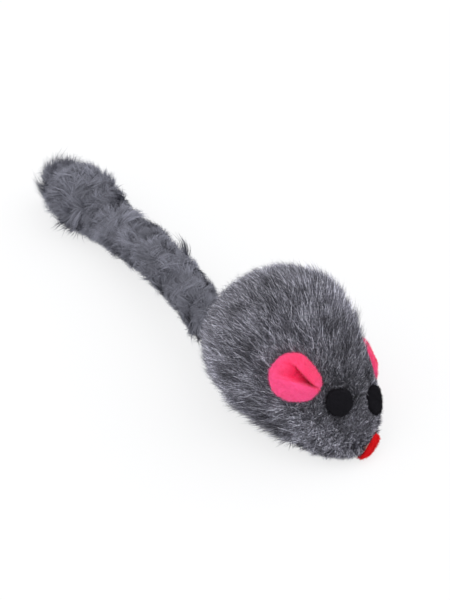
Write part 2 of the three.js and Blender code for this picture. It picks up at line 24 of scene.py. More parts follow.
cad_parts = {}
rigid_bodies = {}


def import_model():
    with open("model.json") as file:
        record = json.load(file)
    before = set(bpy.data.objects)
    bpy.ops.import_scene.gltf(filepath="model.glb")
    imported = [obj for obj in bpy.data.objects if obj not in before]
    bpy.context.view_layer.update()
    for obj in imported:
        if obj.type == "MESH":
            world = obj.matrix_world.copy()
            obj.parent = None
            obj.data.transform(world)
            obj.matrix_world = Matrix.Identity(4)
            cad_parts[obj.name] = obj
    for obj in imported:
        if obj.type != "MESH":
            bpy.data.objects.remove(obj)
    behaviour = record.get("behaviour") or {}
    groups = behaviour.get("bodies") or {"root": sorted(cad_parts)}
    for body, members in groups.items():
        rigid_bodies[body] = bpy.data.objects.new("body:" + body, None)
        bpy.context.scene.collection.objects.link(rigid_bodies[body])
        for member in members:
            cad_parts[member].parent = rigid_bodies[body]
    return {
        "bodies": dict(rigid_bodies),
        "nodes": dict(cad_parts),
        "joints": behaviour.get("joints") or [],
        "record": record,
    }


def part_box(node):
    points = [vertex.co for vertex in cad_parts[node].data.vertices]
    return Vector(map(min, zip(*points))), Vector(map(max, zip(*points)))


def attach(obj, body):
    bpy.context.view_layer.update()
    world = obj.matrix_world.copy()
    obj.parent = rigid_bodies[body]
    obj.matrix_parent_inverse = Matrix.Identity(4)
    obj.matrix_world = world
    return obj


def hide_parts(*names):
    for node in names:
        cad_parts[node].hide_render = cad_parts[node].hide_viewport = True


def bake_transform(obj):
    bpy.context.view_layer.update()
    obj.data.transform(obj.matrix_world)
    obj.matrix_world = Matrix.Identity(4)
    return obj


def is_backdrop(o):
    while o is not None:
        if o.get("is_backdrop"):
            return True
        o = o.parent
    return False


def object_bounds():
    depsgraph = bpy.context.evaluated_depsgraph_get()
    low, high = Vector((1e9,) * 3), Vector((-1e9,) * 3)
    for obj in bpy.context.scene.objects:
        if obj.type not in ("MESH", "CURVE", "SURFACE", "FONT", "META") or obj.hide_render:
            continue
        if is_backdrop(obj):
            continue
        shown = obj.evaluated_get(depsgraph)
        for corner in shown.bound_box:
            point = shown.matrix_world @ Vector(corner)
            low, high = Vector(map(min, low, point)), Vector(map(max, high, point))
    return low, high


log = logging.getLogger("mouse")

Array = np.ndarray
Colour = tuple[float, float, float, float]

METRES_PER_MM = 0.001
TINY = 1e-9
UP = np.array([0.0, 0.0, 1.0])
SEARCH_STEPS = 24
NOISE_MIDDLE = 0.5
WAVE_PERIOD = 0.3
POLE_GAP_RADIANS = 0.03
SEED_STEP = 100


def tint(red: int, green: int, blue: int) -> Colour:
    """Linear colour of an 8-bit screen colour.

    Args:
        red: Red, 0 to 255.
        green: Green, 0 to 255.
        blue: Blue, 0 to 255.

    Returns:
        The colour as linear red, green, blue and full alpha.
    """
    toe, gain, offset, power = 0.04045, 12.92, 0.055, 2.4

    def linear(level: int) -> float:
        """Linear level of one 8-bit channel."""
        share = level / 255
        return share / gain if share <= toe else ((share + offset) / (1 + offset)) ** power

    return (linear(red), linear(green), linear(blue), 1.0)


def unit(vectors: Array) -> Array:
    """Vectors scaled to length one."""
    return vectors / np.maximum(np.linalg.norm(vectors, axis=-1, keepdims=True), TINY)


def dot(a: Array, b: Array) -> Array:
    """Dot products of rows of vectors, kept as a last axis of one."""
    return np.sum(a * b, axis=-1, keepdims=True)


def smooth(share: Array) -> Array:
    """Ease from 0 to 1 of a share that is first held between them."""
    held = np.clip(share, 0, 1)
    return held * held * (3 - 2 * held)


def eased(value: Array, start: Array | float, end: Array | float) -> Array:
    """Ease from 0, where a value is at its start, to 1 at its end, which may be the lower one."""
    return smooth((value - start) / (end - start))


def bell(value: Array, middle: float, spread: float) -> Array:
    """Bell curve of a value, which is 1 at its middle."""
    return np.exp(-(((value - middle) / spread) ** 2))


def round_bell(turn: Array, middle: float, spread: float) -> Array:
    """Bell curve of turns in radians, whose middle and spread are in degrees."""
    apart = np.angle(np.exp(1j * (turn - math.radians(middle))))
    return bell(apart, 0.0, math.radians(spread))


def turned(vectors: Array, axes: Array, angles: Array) -> Array:
    """Rows of vectors turned about rows of unit axes.

    Args:
        vectors: Vectors square to their axes.
        axes: Unit axes.
        angles: Turns in radians, one a row.

    Returns:
        The turned vectors.
    """
    return vectors * np.cos(angles)[:, None] + np.cross(axes, vectors) * np.sin(angles)[:, None]


class Shade:
    """Output of a shader node that takes part in sums as a number does."""

    def __init__(self, tree: ShaderTree, socket: bpy.types.NodeSocket | None) -> None:
        """Keeps the tree, for the nodes that sums add, and the socket."""
        self.tree = tree
        self.socket = socket

    def __add__(self, other: Shade | float) -> Shade:
        """Sum with a shade or a number."""
        return self.tree.maths("ADD", self, other)

    def __sub__(self, other: Shade | float) -> Shade:
        """Difference from a shade or a number."""
        return self.tree.maths("SUBTRACT", self, other)

    def __rsub__(self, other: float) -> Shade:
        """What a number has more than this shade."""
        return self.tree.maths("SUBTRACT", other, self)

    def __mul__(self, other: Shade | float) -> Shade:
        """Product with a shade or a number."""
        return self.tree.maths("MULTIPLY", self, other)

    __radd__ = __add__
    __rmul__ = __mul__


class ShaderTree:
    """Material whose nodes are made from Python expressions."""

    OUTPUT = "ShaderNodeOutputMaterial"

    def __init__(self, name: str) -> None:
        """Starts an empty tree.

        Args:
            name: Name of the material or world that it belongs to.
        """
        self.owner = self._new_owner(name)
        self.owner.use_nodes = True
        self.nodes = self.owner.node_tree.nodes
        self.links = self.owner.node_tree.links
        self.nodes.clear()

    @staticmethod
    def _new_owner(name: str) -> bpy.types.Material:
        """New material."""
        return bpy.data.materials.new(name)

    def node(
        self,
        kind: str,
        settings: dict[str, Any] | None = None,
        sockets: dict[str | int, Any] | None = None,
        output: str | int = 0,
    ) -> Shade:
        """Adds one node.

        Args:
            kind: Type of the node.
            settings: Its own settings, set first. A ramp's are its stops.
            sockets: Values or shades of its inputs, by name or number.
            output: Which of its outputs to give back.

        Returns:
            That output.
        """
        made = self.nodes.new(kind)
        for name, value in (settings or {}).items():
            if name == "stops":
                self._set_stops(made.color_ramp, value)
            else:
                setattr(made, name, value)
        for name, value in (sockets or {}).items():
            if isinstance(value, Shade):
                self.links.new(value.socket, made.inputs[name])
            else:
                made.inputs[name].default_value = value
        return Shade(self, made.outputs[output]) if made.outputs else Shade(self, None)

    @staticmethod
    def _set_stops(ramp: bpy.types.ColorRamp, stops: list[tuple[float, Colour]]) -> None:
        """Gives a ramp its stops.

        Args:
            ramp: The ramp.
            stops: Places from 0 to 1, each with its colour.
        """
        while len(ramp.elements) < len(stops):
            ramp.elements.new(1.0)
        for element, (place, colour) in zip(ramp.elements, stops):
            element.position = place
            element.color = colour

    def maths(self, operation: str, a: Shade | float, b: Shade | float) -> Shade:
        """Math node of one operation on two values."""
        return self.node("ShaderNodeMath", {"operation": operation}, {0: a, 1: b})

    def mix(self, share: Shade | float, a: Shade | Colour, b: Shade | Colour) -> Shade:
        """Colour part of the way from one to another."""
        return self.node("ShaderNodeMix", {"data_type": "RGBA"}, {0: share, 6: a, 7: b}, 2)

    def scaled(self, colour: Shade, factor: Shade | float) -> Shade:
        """Colour made brighter or darker by a factor."""
        sockets = {0: colour, "Scale": factor}
        return self.node("ShaderNodeVectorMath", {"operation": "SCALE"}, sockets)

    def place(self) -> Shade:
        """Place in the object's own frame, in metres."""
        return self.node("ShaderNodeTexCoord", output="Object")

    def noise(self, size: float, detail: float = 2.0, roughness: float = 0.5) -> Shade:
        """Noise in patches.

        Args:
            size: How far across a patch is, about.
            detail: Number of finer layers on it.
            roughness: Weight of each layer against the one before.

        Returns:
            The noise, from 0 to 1.
        """
        sockets = {
            "Vector": self.place(),
            "Scale": 1 / (size * METRES_PER_MM),
            "Detail": detail,
            "Roughness": roughness,
        }
        return self.node("ShaderNodeTexNoise", {"noise_dimensions": "3D"}, sockets)

    def bump(self, height: Shade, depth: float) -> Shade:
        """Normal of a surface raised by a height of at most the given depth."""
        sockets = {"Height": height, "Distance": depth * METRES_PER_MM}
        return self.node("ShaderNodeBump", sockets=sockets)

    def seen(self, share: float = 1.0) -> Shade:
        """Share for rays that show the surface itself, and 0 for the light that it gives.

        Args:
            share: The share.

        Returns:
            The share or 0, by the kind of ray.
        """
        camera, glossy, through = (
            self.node("ShaderNodeLightPath", output=f"Is {kind} Ray")
            for kind in ("Camera", "Glossy", "Transmission")
        )
        return self.maths("MAXIMUM", self.maths("MAXIMUM", camera, glossy), through) * share

    def finish(self, surface: Shade) -> bpy.types.Material | bpy.types.World:
        """Ends the tree in its output and gives what it belongs to."""
        self.node(self.OUTPUT, sockets={"Surface": surface})
        return self.owner

    def principled(self, **sockets: Any) -> bpy.types.Material:
        """Ends the tree in one principled shader.

        Args:
            **sockets: Its inputs, with underscores for the spaces of their names.

        Returns:
            The material.
        """
        named = {name.replace("_", " "): value for name, value in sockets.items()}
        return self.finish(self.node("ShaderNodeBsdfPrincipled", sockets=named))


class WorldTree(ShaderTree):
    """World whose nodes are made in the same way."""

    OUTPUT = "ShaderNodeOutputWorld"

    @staticmethod
    def _new_owner(name: str) -> bpy.types.World:
        """New world."""
        return bpy.data.worlds.new(name)


@dataclass(frozen=True)
class FurFinish:
    """Faux fur, dark at the roots, partly as painted shade deep in the pile, and paler at the tips,
    with its hairs in mixed greys and fine specks of painted glints and painted shade.
    """

    name: str
    root: Colour
    tip: Colour
    pale: Colour
    pale_share: float = 0.2
    lock_contrast: float = 1.1
    hair_contrast: float = 1.3
    speckle_size: float = 0.5
    speckle_contrast: float = 2.7
    darkest: float = 0.2
    patch_size: float = 9.0
    patch_contrast: float = 0.3

    def material(self) -> bpy.types.Material:
        """Dresses strands whose strand attribute says along, lock, hair and shade, where shade is a
        colour factor that holds painted light and shade on the body.

        Returns:
            The material.
        """
        tree = ShaderTree(self.name)
        kept = {"attribute_name": "strand"}
        strand = {0: tree.node("ShaderNodeAttribute", kept, output="Color")}
        along, lock, hair = (
            tree.node("ShaderNodeSeparateColor", sockets=strand, output=part)
            for part in ("Red", "Green", "Blue")
        )
        # Alpha is the strand's shade factor, which on the body holds painted light and shade.
        factor = tree.node("ShaderNodeAttribute", kept, output="Alpha")
        # Dark roots, partly the fur's own colour and partly painted shade deep in the pile, paling
        # to the tips.
        colour = tree.mix(along, self.root, self.tip)
        pale = tree.maths("GREATER_THAN", hair, 1 - self.pale_share)
        colour = tree.mix(pale * along, colour, self.pale)
        # Fine specks of painted glints on the hairs and painted shade in the gaps between them.
        glints_and_gaps = tree.noise(self.speckle_size, detail=1.0)
        patch = tree.noise(self.patch_size, detail=1.0)
        parts = (
            (lock, self.lock_contrast),
            (hair, self.hair_contrast),
            (glints_and_gaps, self.speckle_contrast),
            (patch, self.patch_contrast),
        )
        for part, contrast in parts:
            tone = 1 - contrast / 2 + part * contrast
            factor = factor * tree.maths("MAXIMUM", tone, self.darkest)
        return tree.principled(
            Base_Color=tree.scaled(colour, factor),
            Roughness=0.65,
            Specular_IOR_Level=0.2,
        )


@dataclass(frozen=True)
class BackingFinish:
    """Knitted backing that the pile grows from: rows of small loops in dark yarn."""

    name: str
    yarn: Colour
    gap: Colour
    loop_size: float = 0.9
    loop_share: float = 0.8
    fuzz_size: float = 0.225
    fuzz_share: float = 0.3
    relief: float = 0.3

    def material(self) -> bpy.types.Material:
        """Dresses the backing.

        Returns:
            The material.
        """
        tree = ShaderTree(self.name)
        cells = tree.node(
            "ShaderNodeTexVoronoi",
            {"feature": "F1"},
            {"Vector": tree.place(), "Scale": 1 / (self.loop_size * METRES_PER_MM)},
            "Distance",
        )
        fuzz = tree.noise(self.fuzz_size, detail=3.0)
        height = (1 - cells) * self.loop_share + fuzz * (1 - self.loop_share)
        return tree.principled(
            # The gap colour between the loops is painted shade.
            Base_Color=tree.mix(cells + fuzz * self.fuzz_share, self.yarn, self.gap),
            Roughness=0.95,
            Normal=tree.bump(height, self.relief),
        )


@dataclass(frozen=True)
class FeltFinish:
    """Pressed felt: matted fibres, darker where they lie deeper, as painted shade."""

    name: str
    face: Colour
    creases: tuple[tuple[float, Colour], ...] = ()
    deep_share: float = 0.8
    fibre_size: float = 0.3
    fibre_contrast: float = 2.4
    fibre_share: float = 0.55
    mat_size: float = 1.6
    mat_share: float = 0.35
    relief: float = 0.12
    relief_share: float = 0.6
    sheen: float = 0.0

    def material(self) -> bpy.types.Material:
        """Dresses the felt in its face's colour, and in painted crease shade by the crease
        attribute.

        Returns:
            The material.
        """
        tree = ShaderTree(self.name)
        stops = [(0.0, self.face), *self.creases]
        kept = {"attribute_name": "crease"}
        crease = tree.node("ShaderNodeAttribute", kept, output="Fac")
        face = tree.node("ShaderNodeValToRGB", {"stops": stops}, {0: crease})
        fibres = tree.noise(self.fibre_size, detail=4.0, roughness=0.7)
        mats = tree.noise(self.mat_size, detail=2.0)
        # Painted shade: the felt is darker where its fibres and mats lie low in the relief.
        level = (fibres - NOISE_MIDDLE) * self.fibre_contrast + NOISE_MIDDLE
        level = level * self.fibre_share + mats * self.mat_share
        shade = tree.node("ShaderNodeClamp", sockets={"Value": level})
        shade = shade * (1 - self.deep_share) + self.deep_share
        height = fibres * self.relief_share + mats * (1 - self.relief_share)
        return tree.principled(
            Base_Color=tree.scaled(face, shade),
            Roughness=0.95,
            Specular_IOR_Level=0.1,
            Sheen_Weight=self.sheen,
            Sheen_Roughness=0.4,
            Normal=tree.bump(height, self.relief),
        )


@dataclass(frozen=True)
class MottledFinish:
    """Smooth solid in two colours that run into each other, such as plastic, steel or glue."""

    name: str
    body: Colour
    mark: Colour
    mark_size: float
    mark_detail: float
    least_roughness: float
    roughness_spread: float
    relief: float
    grain_size: float | None = None
    metallic: float = 0.0

    def material(self) -> bpy.types.Material:
        """Dresses the solid. Its grain is its marks, where it has no size of its own.

        Returns:
            The material.
        """
        tree = ShaderTree(self.name)
        marks = tree.noise(self.mark_size, detail=self.mark_detail)
        grain = tree.noise(self.grain_size, detail=1.0) if self.grain_size else marks
        return tree.principled(
            Base_Color=tree.mix(marks, self.body, self.mark),
            Metallic=self.metallic,
            Roughness=self.least_roughness + grain * self.roughness_spread,
            Normal=tree.bump(grain, self.relief),
        )


@dataclass(frozen=True)
class ThreadFinish:
    """Sewing thread, with the bands of its twisted plies."""

    name: str
    light: Colour
    dark: Colour
    ply_size: float = 0.45
    relief: float = 0.08

    def material(self) -> bpy.types.Material:
        """Dresses the thread.

        Returns:
            The material.
        """
        tree = ShaderTree(self.name)
        scale = WAVE_PERIOD / (self.ply_size * METRES_PER_MM)
        bands = tree.node(
            "ShaderNodeTexWave",
            {"bands_direction": "DIAGONAL"},
            {"Vector": tree.place(), "Scale": scale, "Distortion": 0.5},
            "Fac",
        )
        return tree.principled(
            # The dark bands lie in the grooves between the plies, as painted shade.
            Base_Color=tree.mix(bands, self.dark, self.light),
            Roughness=0.75,
            Normal=tree.bump(bands, self.relief),
        )


@dataclass(frozen=True)
class FloorFinish:
    """Plain white tabletop, which looks white and keeps the toy's shadow."""

    name: str
    white: Colour
    lit_share: float = 0.75
    glow: float = 0.98

    def material(self) -> bpy.types.Material:
        """Dresses the floor.

        Returns:
            The material.
        """
        tree = ShaderTree(self.name)
        matt = {"Base Color": self.white, "Roughness": 0.9, "Specular IOR Level": 0.0}
        layers = {
            0: tree.seen(self.lit_share),
            1: tree.node("ShaderNodeBsdfPrincipled", sockets=matt),
            2: tree.node("ShaderNodeEmission", sockets={"Strength": self.glow}),
        }
        return tree.finish(tree.node("ShaderNodeMixShader", sockets=layers))


class Finishes:
    """Every material of the toy and its studio, made once."""

    def __init__(self) -> None:
        """Makes the materials."""
        self.body_fur = FurFinish(
            "body_fur", tint(34, 33, 39), tint(126, 125, 136), tint(184, 184, 195)
        ).material()
        self.tail_fur = FurFinish(
            "tail_fur",
            tint(42, 42, 50),
            tint(125, 126, 137),
            tint(131, 132, 143),
            lock_contrast=0.6,
            hair_contrast=0.1,
            speckle_contrast=0.1,
            patch_size=5.0,
            patch_contrast=0.35,
        ).material()
        self.undercoat = BackingFinish("undercoat", tint(58, 57, 65), tint(34, 33, 39)).material()
        self.backing = BackingFinish("tail_backing", tint(74, 74, 82), tint(48, 48, 54)).material()
        # Painted shade of the ear's crease, from the lobe to the deepest valley.
        creases = (
            (0.24, tint(253, 78, 130)),
            (0.52, tint(250, 46, 98)),
            (0.8, tint(212, 22, 66)),
            (1.0, tint(176, 8, 42)),
        )
        self.ear_felt = FeltFinish(
            "ear_felt", tint(255, 90, 151), creases, deep_share=0.9, sheen=0.35
        ).material()
        self.eye_felt = FeltFinish("eye_felt", tint(31, 30, 35)).material()
        self.nose_felt = FeltFinish("nose_felt", tint(236, 28, 36)).material()
        self.plastic = MottledFinish(
            "core_plastic",
            tint(232, 230, 222),
            tint(222, 219, 208),
            mark_size=7.0,
            mark_detail=3.0,
            least_roughness=0.4,
            roughness_spread=0.2,
            relief=0.02,
            grain_size=0.25,
        ).material()
        self.steel = MottledFinish(
            "steel_shot",
            tint(190, 192, 196),
            tint(140, 142, 146),
            mark_size=0.6,
            mark_detail=4.0,
            least_roughness=0.18,
            roughness_spread=0.3,
            relief=0.01,
            metallic=1.0,
        ).material()
        self.glue = MottledFinish(
            "hot_glue",
            tint(236, 228, 204),
            tint(220, 208, 176),
            mark_size=1.2,
            mark_detail=2.0,
            least_roughness=0.22,
            roughness_spread=0.15,
            relief=0.1,
        ).material()
        self.thread = ThreadFinish("sewing_thread", tint(72, 71, 78), tint(38, 37, 43)).material()
        self.floor = FloorFinish("studio_floor", tint(234, 235, 237)).material()


@dataclass
class Mesh:
    """Points and faces of a mesh, with what its material reads."""

    points: Array
    quads: Array
    triangles: Array = field(default_factory=lambda: np.zeros((0, 3), int))
    strand: Array | None = None
    crease: Array | None = None
    bake_places: Array | None = None

    def corners(self) -> Array:
        """Point numbers of all the faces' corners, one face after another."""
        return np.concatenate([self.quads.ravel(), self.triangles.ravel()])

    def starts(self) -> Array:
        """First corner of each face.

        Returns:
            Numbers of the corners, the quads' before the triangles'.
        """
        quads = np.arange(len(self.quads)) * 4
        triangles = self.quads.size + np.arange(len(self.triangles)) * 3
        return np.concatenate([quads, triangles])


@dataclass
class Bench:
    """Where meshes are turned into pieces, in the toy's own frame."""

    shift: Array

    def metres(self, points: Array) -> Array:
        """Places of the mouse's frame as metres in the toy's frame."""
        return (np.asarray(points) + self.shift) * METRES_PER_MM

    def make(self, name: str, mesh: Mesh, material: bpy.types.Material) -> bpy.types.Object:
        """Turns a mesh into an object.

        Args:
            name: Name of the piece.
            mesh: Its points and faces, in the mouse's frame.
            material: Its finish.

        Returns:
            The object, linked to the scene.
        """
        data = bpy.data.meshes.new(name)
        corners = mesh.corners()
        starts = mesh.starts()
        data.vertices.add(len(mesh.points))
        data.vertices.foreach_set("co", self.metres(mesh.points).astype(np.float32).ravel())
        data.loops.add(len(corners))
        data.loops.foreach_set("vertex_index", corners.astype(np.int32))
        data.polygons.add(len(starts))
        data.polygons.foreach_set("loop_start", starts.astype(np.int32))
        data.update(calc_edges=True)
        data.shade_smooth()
        self._dress(data, mesh, corners)
        data.materials.append(material)
        made = bpy.data.objects.new(name, data)
        bpy.context.scene.collection.objects.link(made)
        log.info("%s: %d points, %d faces", name, len(mesh.points), len(starts))
        return made

    @staticmethod
    def _dress(data: bpy.types.Mesh, mesh: Mesh, corners: Array) -> None:
        """Gives a mesh the attributes and the bake map that it carries.

        Args:
            data: The mesh in the scene.
            mesh: The mesh that it was made from.
            corners: Point number of each corner.
        """
        if mesh.strand is not None:
            kept = data.attributes.new("strand", "FLOAT_COLOR", "POINT")
            kept.data.foreach_set("color", mesh.strand.astype(np.float32).ravel())
        if mesh.crease is not None:
            kept = data.attributes.new("crease", "FLOAT", "POINT")
            kept.data.foreach_set("value", mesh.crease.astype(np.float32))
        if mesh.bake_places is not None:
            layer = data.uv_layers.new(name="OFBake")
            layer.data.foreach_set("uv", mesh.bake_places[corners].astype(np.float32).ravel())


@dataclass(frozen=True)
class EggForm:
    """Egg-shaped body with a snout, at any depth below the tips of its pile."""

    rear_length: float = 20.9
    front_length: float = 29.6
    half_width: float = 19.5
    height: float = 36.0
    snout_half_width: float = 8.7
    snout_height: float = 7.2
    shoulder_share: float = 0.49
    rear_lift_share: float = 0.75
    snout_lift_share: float = 0.93
    resting_cut: float = 0.5
    belly_pile_share: float = 0.8
    taper_power: float = 1.26
    nose_power: float = 6.7
    rump_power: float = 2.0
    belly_power: float = 2.4

    def span(self, x: Array, depth: Array | float) -> Array:
        """Length of the form ahead of or behind its widest station."""
        return np.where(x > 0, self.front_length, self.rear_length) - depth

    def section(self, x: Array, depth: Array | float) -> tuple[Array, Array, Array, Array]:
        """Cross-section at a station.

        Args:
            x: Stations.
            depth: Depth below the tips of the pile.

        Returns:
            Half width, and the heights of the underside, the shoulder and the top.
        """
        ahead = x > 0
        reach = np.clip(np.abs(x) / self.span(x, depth), 0, 1)
        taper = np.where(ahead, reach**self.taper_power, 0.0)
        power = np.where(ahead, self.nose_power, self.rump_power)
        rounding = np.sqrt(1 - reach**power)
        half_width = self.half_width - depth
        base = depth * self.belly_pile_share - self.resting_cut
        height = self.height - depth - base
        snout_width = self.snout_half_width * half_width / self.half_width
        full = height + (self.snout_height / self.height - 1) * height * taper
        tall = full * rounding
        lift = np.where(ahead, self.snout_lift_share, self.rear_lift_share)
        low = base + (full - tall) * self.shoulder_share * lift
        wide = (half_width + (snout_width - half_width) * taper) * rounding
        return wide, low, low + tall * self.shoulder_share, low + tall

    def point(self, pitch: Array, turn: Array, depth: Array | float) -> Array:
        """Points of the form.

        Args:
            pitch: Place along the body in radians, from -pi/2 at the rump to pi/2 at the nose.
            turn: Turn in radians from the top towards the mouse's left.
            depth: Depth below the tips of the pile.

        Returns:
            The points, one a row.
        """
        sine = np.sin(pitch)
        x = sine * self.span(sine, depth)
        wide, low, shoulder, top = self.section(x, depth)
        side, rise = np.sin(turn), np.cos(turn)
        power = np.where(rise < 0, self.rump_power / self.belly_power, 1.0)
        reach = np.where(rise < 0, shoulder - low, top - shoulder)
        y = wide * np.sign(side) * np.abs(side) ** power
        z = shoulder + reach * np.sign(rise) * np.abs(rise) ** power
        return np.stack(np.broadcast_arrays(x, y, z), axis=-1)

    def holds(self, points: Array) -> Array:
        """Whether each point lies inside the tips of the pile.

        Args:
            points: The points, one a row.

        Returns:
            True or false for each.
        """
        x, y, z = np.moveaxis(points, -1, 0)
        wide, low, shoulder, top = self.section(x, 0.0)
        above = z > shoulder
        reach = np.where(above, top - shoulder, shoulder - low)
        power = np.where(above, self.rump_power, self.belly_power)
        inside = np.abs(y) / np.maximum(wide, TINY)
        level = np.abs(z - shoulder) / np.maximum(reach, TINY)
        return (inside**power + level**power < 1) & (np.abs(x) < self.span(x, 0.0))


@dataclass
class Seat:
    """Frame of a felt piece on the fur: an origin and three unit axes, Z off the fur."""

    origin: Array
    axes: Array

    def world(self, points: Array) -> Array:
        """Points of the seat's frame in the mouse's frame."""
        return self.origin + points @ self.axes

    def local(self, points: Array) -> Array:
        """Points of the mouse's frame in the seat's frame."""
        return (points - self.origin) @ self.axes.T

    def rolled(self, turn: float) -> Seat:
        """The seat turned about its own Z.

        Args:
            turn: The turn in radians.

        Returns:
            The turned seat.
        """
        cosine, sine = math.cos(turn), math.sin(turn)
        across, along, out = self.axes
        axes = np.array([across * cosine + along * sine, along * cosine - across * sine, out])
        return Seat(self.origin, axes)


@dataclass(frozen=True)
class Head:
    """Where the felt pieces sit on the body's form."""

    form: EggForm
    ear_diameter: float = 12.7
    ear_right_turn: float = -37.2
    ear_right_from_eye: float = 2.3
    ear_left_turn: float = 100.0
    ear_left_from_eye: float = 5.0
    eye_diameter: float = 6.7
    eye_right_station_share: float = 0.729
    eye_right_turn: float = -12.4
    eye_left_station_share: float = 0.794
    eye_left_turn: float = 50.8
    nose_length: float = 7.3
    nose_width: float = 3.2
    nose_station_share: float = 0.992
    nose_turn: float = 103.0
    nose_roll: float = 37.0
    survey_share: float = 0.001
    search_top: float = 0.3

    def seat(self, station_share: float, turn: float) -> Seat:
        """Seat on the fur, with X towards the rear.

        Args:
            station_share: Share of the way from the widest station to the nose.
            turn: Turn from the top towards the mouse's left, in radians.

        Returns:
            The seat.
        """
        shares = station_share + np.array([0.0, self.survey_share, 0.0])
        turns = turn + np.array([0.0, 0.0, self.survey_share])
        here, ahead, round_ = self.form.point(np.arcsin(shares), turns, 0.0)
        out = unit(np.cross(ahead - here, round_ - here))
        rearward = unit(here - ahead)
        return Seat(here, np.array([rearward, np.cross(out, rearward), out]))

    def eye(self, left: bool) -> Seat:
        """Seat of an eye."""
        share = self.eye_left_station_share if left else self.eye_right_station_share
        return self.seat(share, math.radians(self.eye_left_turn if left else self.eye_right_turn))

    def ear(self, left: bool) -> Seat:
        """Seat of an ear behind its eye, with X pointing away from the eye.

        Args:
            left: Whether it is the mouse's left ear.

        Returns:
            The seat.
        """
        eye = self.eye(left)
        turn = math.radians(self.ear_left_turn if left else self.ear_right_turn)
        from_eye = self.ear_left_from_eye if left else self.ear_right_from_eye
        apart = (self.ear_diameter + self.eye_diameter) / 2 + from_eye
        near, far = eye.origin[0] / self.form.front_length, 0.0
        for _ in range(SEARCH_STEPS):
            middle = (near + far) / 2
            place = self.form.point(np.arcsin(middle), np.array(turn), 0.0)
            if np.linalg.norm(place - eye.origin) < apart:
                near = middle
            else:
                far = middle
        seat = self.seat(near, turn)
        away = -seat.local(eye.origin)
        return seat.rolled(math.atan2(away[1], away[0]))

    def nose(self) -> Seat:
        """Seat of the nose, level across the snout's end and then rolled.

        Returns:
            The seat.
        """
        seat = self.seat(self.nose_station_share, math.radians(self.nose_turn))
        out = seat.axes[2]
        side = unit(np.cross(UP, out))
        level = Seat(seat.origin, np.array([side, np.cross(out, side), out]))
        return level.rolled(math.radians(self.nose_roll))

    def fur_level(self, seat: Seat, x: Array, y: Array) -> Array:
        """Level of the fur's tips beside a seat.

        Args:
            seat: The seat.
            x: Places along the seat's X.
            y: Places along the seat's Y.

        Returns:
            Levels along the seat's Z.
        """
        inside = np.full(np.shape(x), -self.form.snout_half_width)
        outside = np.full(np.shape(x), self.search_top)
        for _ in range(SEARCH_STEPS):
            middle = (inside + outside) / 2
            held = self.form.holds(seat.world(np.stack([x, y, middle], axis=-1)))
            inside = np.where(held, middle, inside)
            outside = np.where(held, outside, middle)
        return inside


@dataclass(frozen=True)
class TailForm:
    """Tail that starts thin on the rump, settles on the floor and ends in a tuft."""

    body: EggForm
    length: float = 77.0
    root_side_share: float = -0.288
    root_height: float = 11.0
    tuft_side: float = 2.6
    root_radius: float = 5.1
    middle_radius: float = 6.4
    tuft_radius: float = 10.0
    root_flare_share: float = 0.15
    tuft_centre_share: float = 0.91
    tuft_spread_share: float = 0.165
    round_end_share: float = 0.8
    settle_share: float = 0.9
    sweep_power: float = 3.7
    bend_shares: tuple[float, ...] = (0.0, 0.27, 0.5, 0.73)
    bend_limit: float = 35.0
    gap: float = 0.3
    survey_share: float = 0.002

    def root_side(self) -> float:
        """Sideways place of the root."""
        return self.root_side_share * self.body.half_width

    def start(self) -> float:
        """Station of the first bend, where the side of the root swings clear of the rump.

        Returns:
            The station, which is below 0.
        """
        sweep = self.sweep_power * (self.tuft_side - self.root_side())
        turn = abs(math.atan2(sweep, self.length)) + math.radians(self.bend_limit)
        behind = math.sqrt((self.root_radius + self.gap) ** 2 - self.root_radius**2)
        reach = self.root_radius * math.sin(turn) - behind * math.cos(turn)
        return -self.body.rear_length - reach - self.gap

    def radius(self, share: Array) -> Array:
        """Radius over the pile.

        Args:
            share: Shares of the length.

        Returns:
            The radius at each.
        """
        flare = 1 - np.exp(-share / self.root_flare_share)
        tuft = bell(share, self.tuft_centre_share, self.tuft_spread_share)
        plain = self.root_radius + (self.middle_radius - self.root_radius) * flare
        past = np.maximum(share - self.round_end_share, 0) / (1 - self.round_end_share)
        rounding = np.sqrt(np.maximum(1 - past**2, 0))
        return (plain + (self.tuft_radius - self.middle_radius) * tuft) * rounding

    def resting(self, share: Array) -> Array:
        """Height of the middle line where the tail lies on the floor."""
        return self.radius(np.minimum(share, self.round_end_share)) - self.body.resting_cut

    def middle(self, share: Array) -> Array:
        """Middle line of the tail.

        Args:
            share: Shares of the length.

        Returns:
            Its points there, one a row.
        """
        share = np.asarray(share, float)
        settled = np.minimum(share / self.settle_share, 1)
        left = 1 - settled
        rise = (self.root_height - self.resting(np.array(0.0))) * left**2 * (1 + 2 * settled)
        side = 1 - (1 - share) ** self.sweep_power
        x = self.start() - self.length * share
        y = self.root_side() + (self.tuft_side - self.root_side()) * side
        return np.stack(np.broadcast_arrays(x, y, self.resting(share) + rise), axis=-1)

    def direction(self, share: Array) -> Array:
        """Direction of the middle line, away from the body."""
        ahead = self.middle(np.asarray(share) + self.survey_share)
        return unit(ahead - self.middle(np.asarray(share) - self.survey_share))

    def point(self, share: Array, turn: Array, thickness: float) -> Array:
        """Points within the tail, drawn in from its end as from its sides.

        Args:
            share: Shares of the length.
            turn: Turns in radians about the middle line.
            thickness: Share of the radius.

        Returns:
            The points, one a row.
        """
        drawn_in = share * (1 - (1 - thickness) * self.tuft_radius / self.length)
        direction = self.direction(drawn_in)
        across = unit(np.cross(UP, direction))
        above = np.cross(direction, across)
        radius = self.radius(share)[..., None] * thickness
        round_ = above * np.cos(turn)[..., None] + across * np.sin(turn)[..., None]
        return self.middle(drawn_in) + round_ * radius


@dataclass
class Roots:
    """Where the strands of a coat grow, one a row."""

    place: Array
    out: Array
    lay: Array
    bend: Array
    side_bend: Array
    length: Array
    height: Array
    scruff: Array
    # Factor of the colour, which on the body holds painted light and shade.
    shade: Array


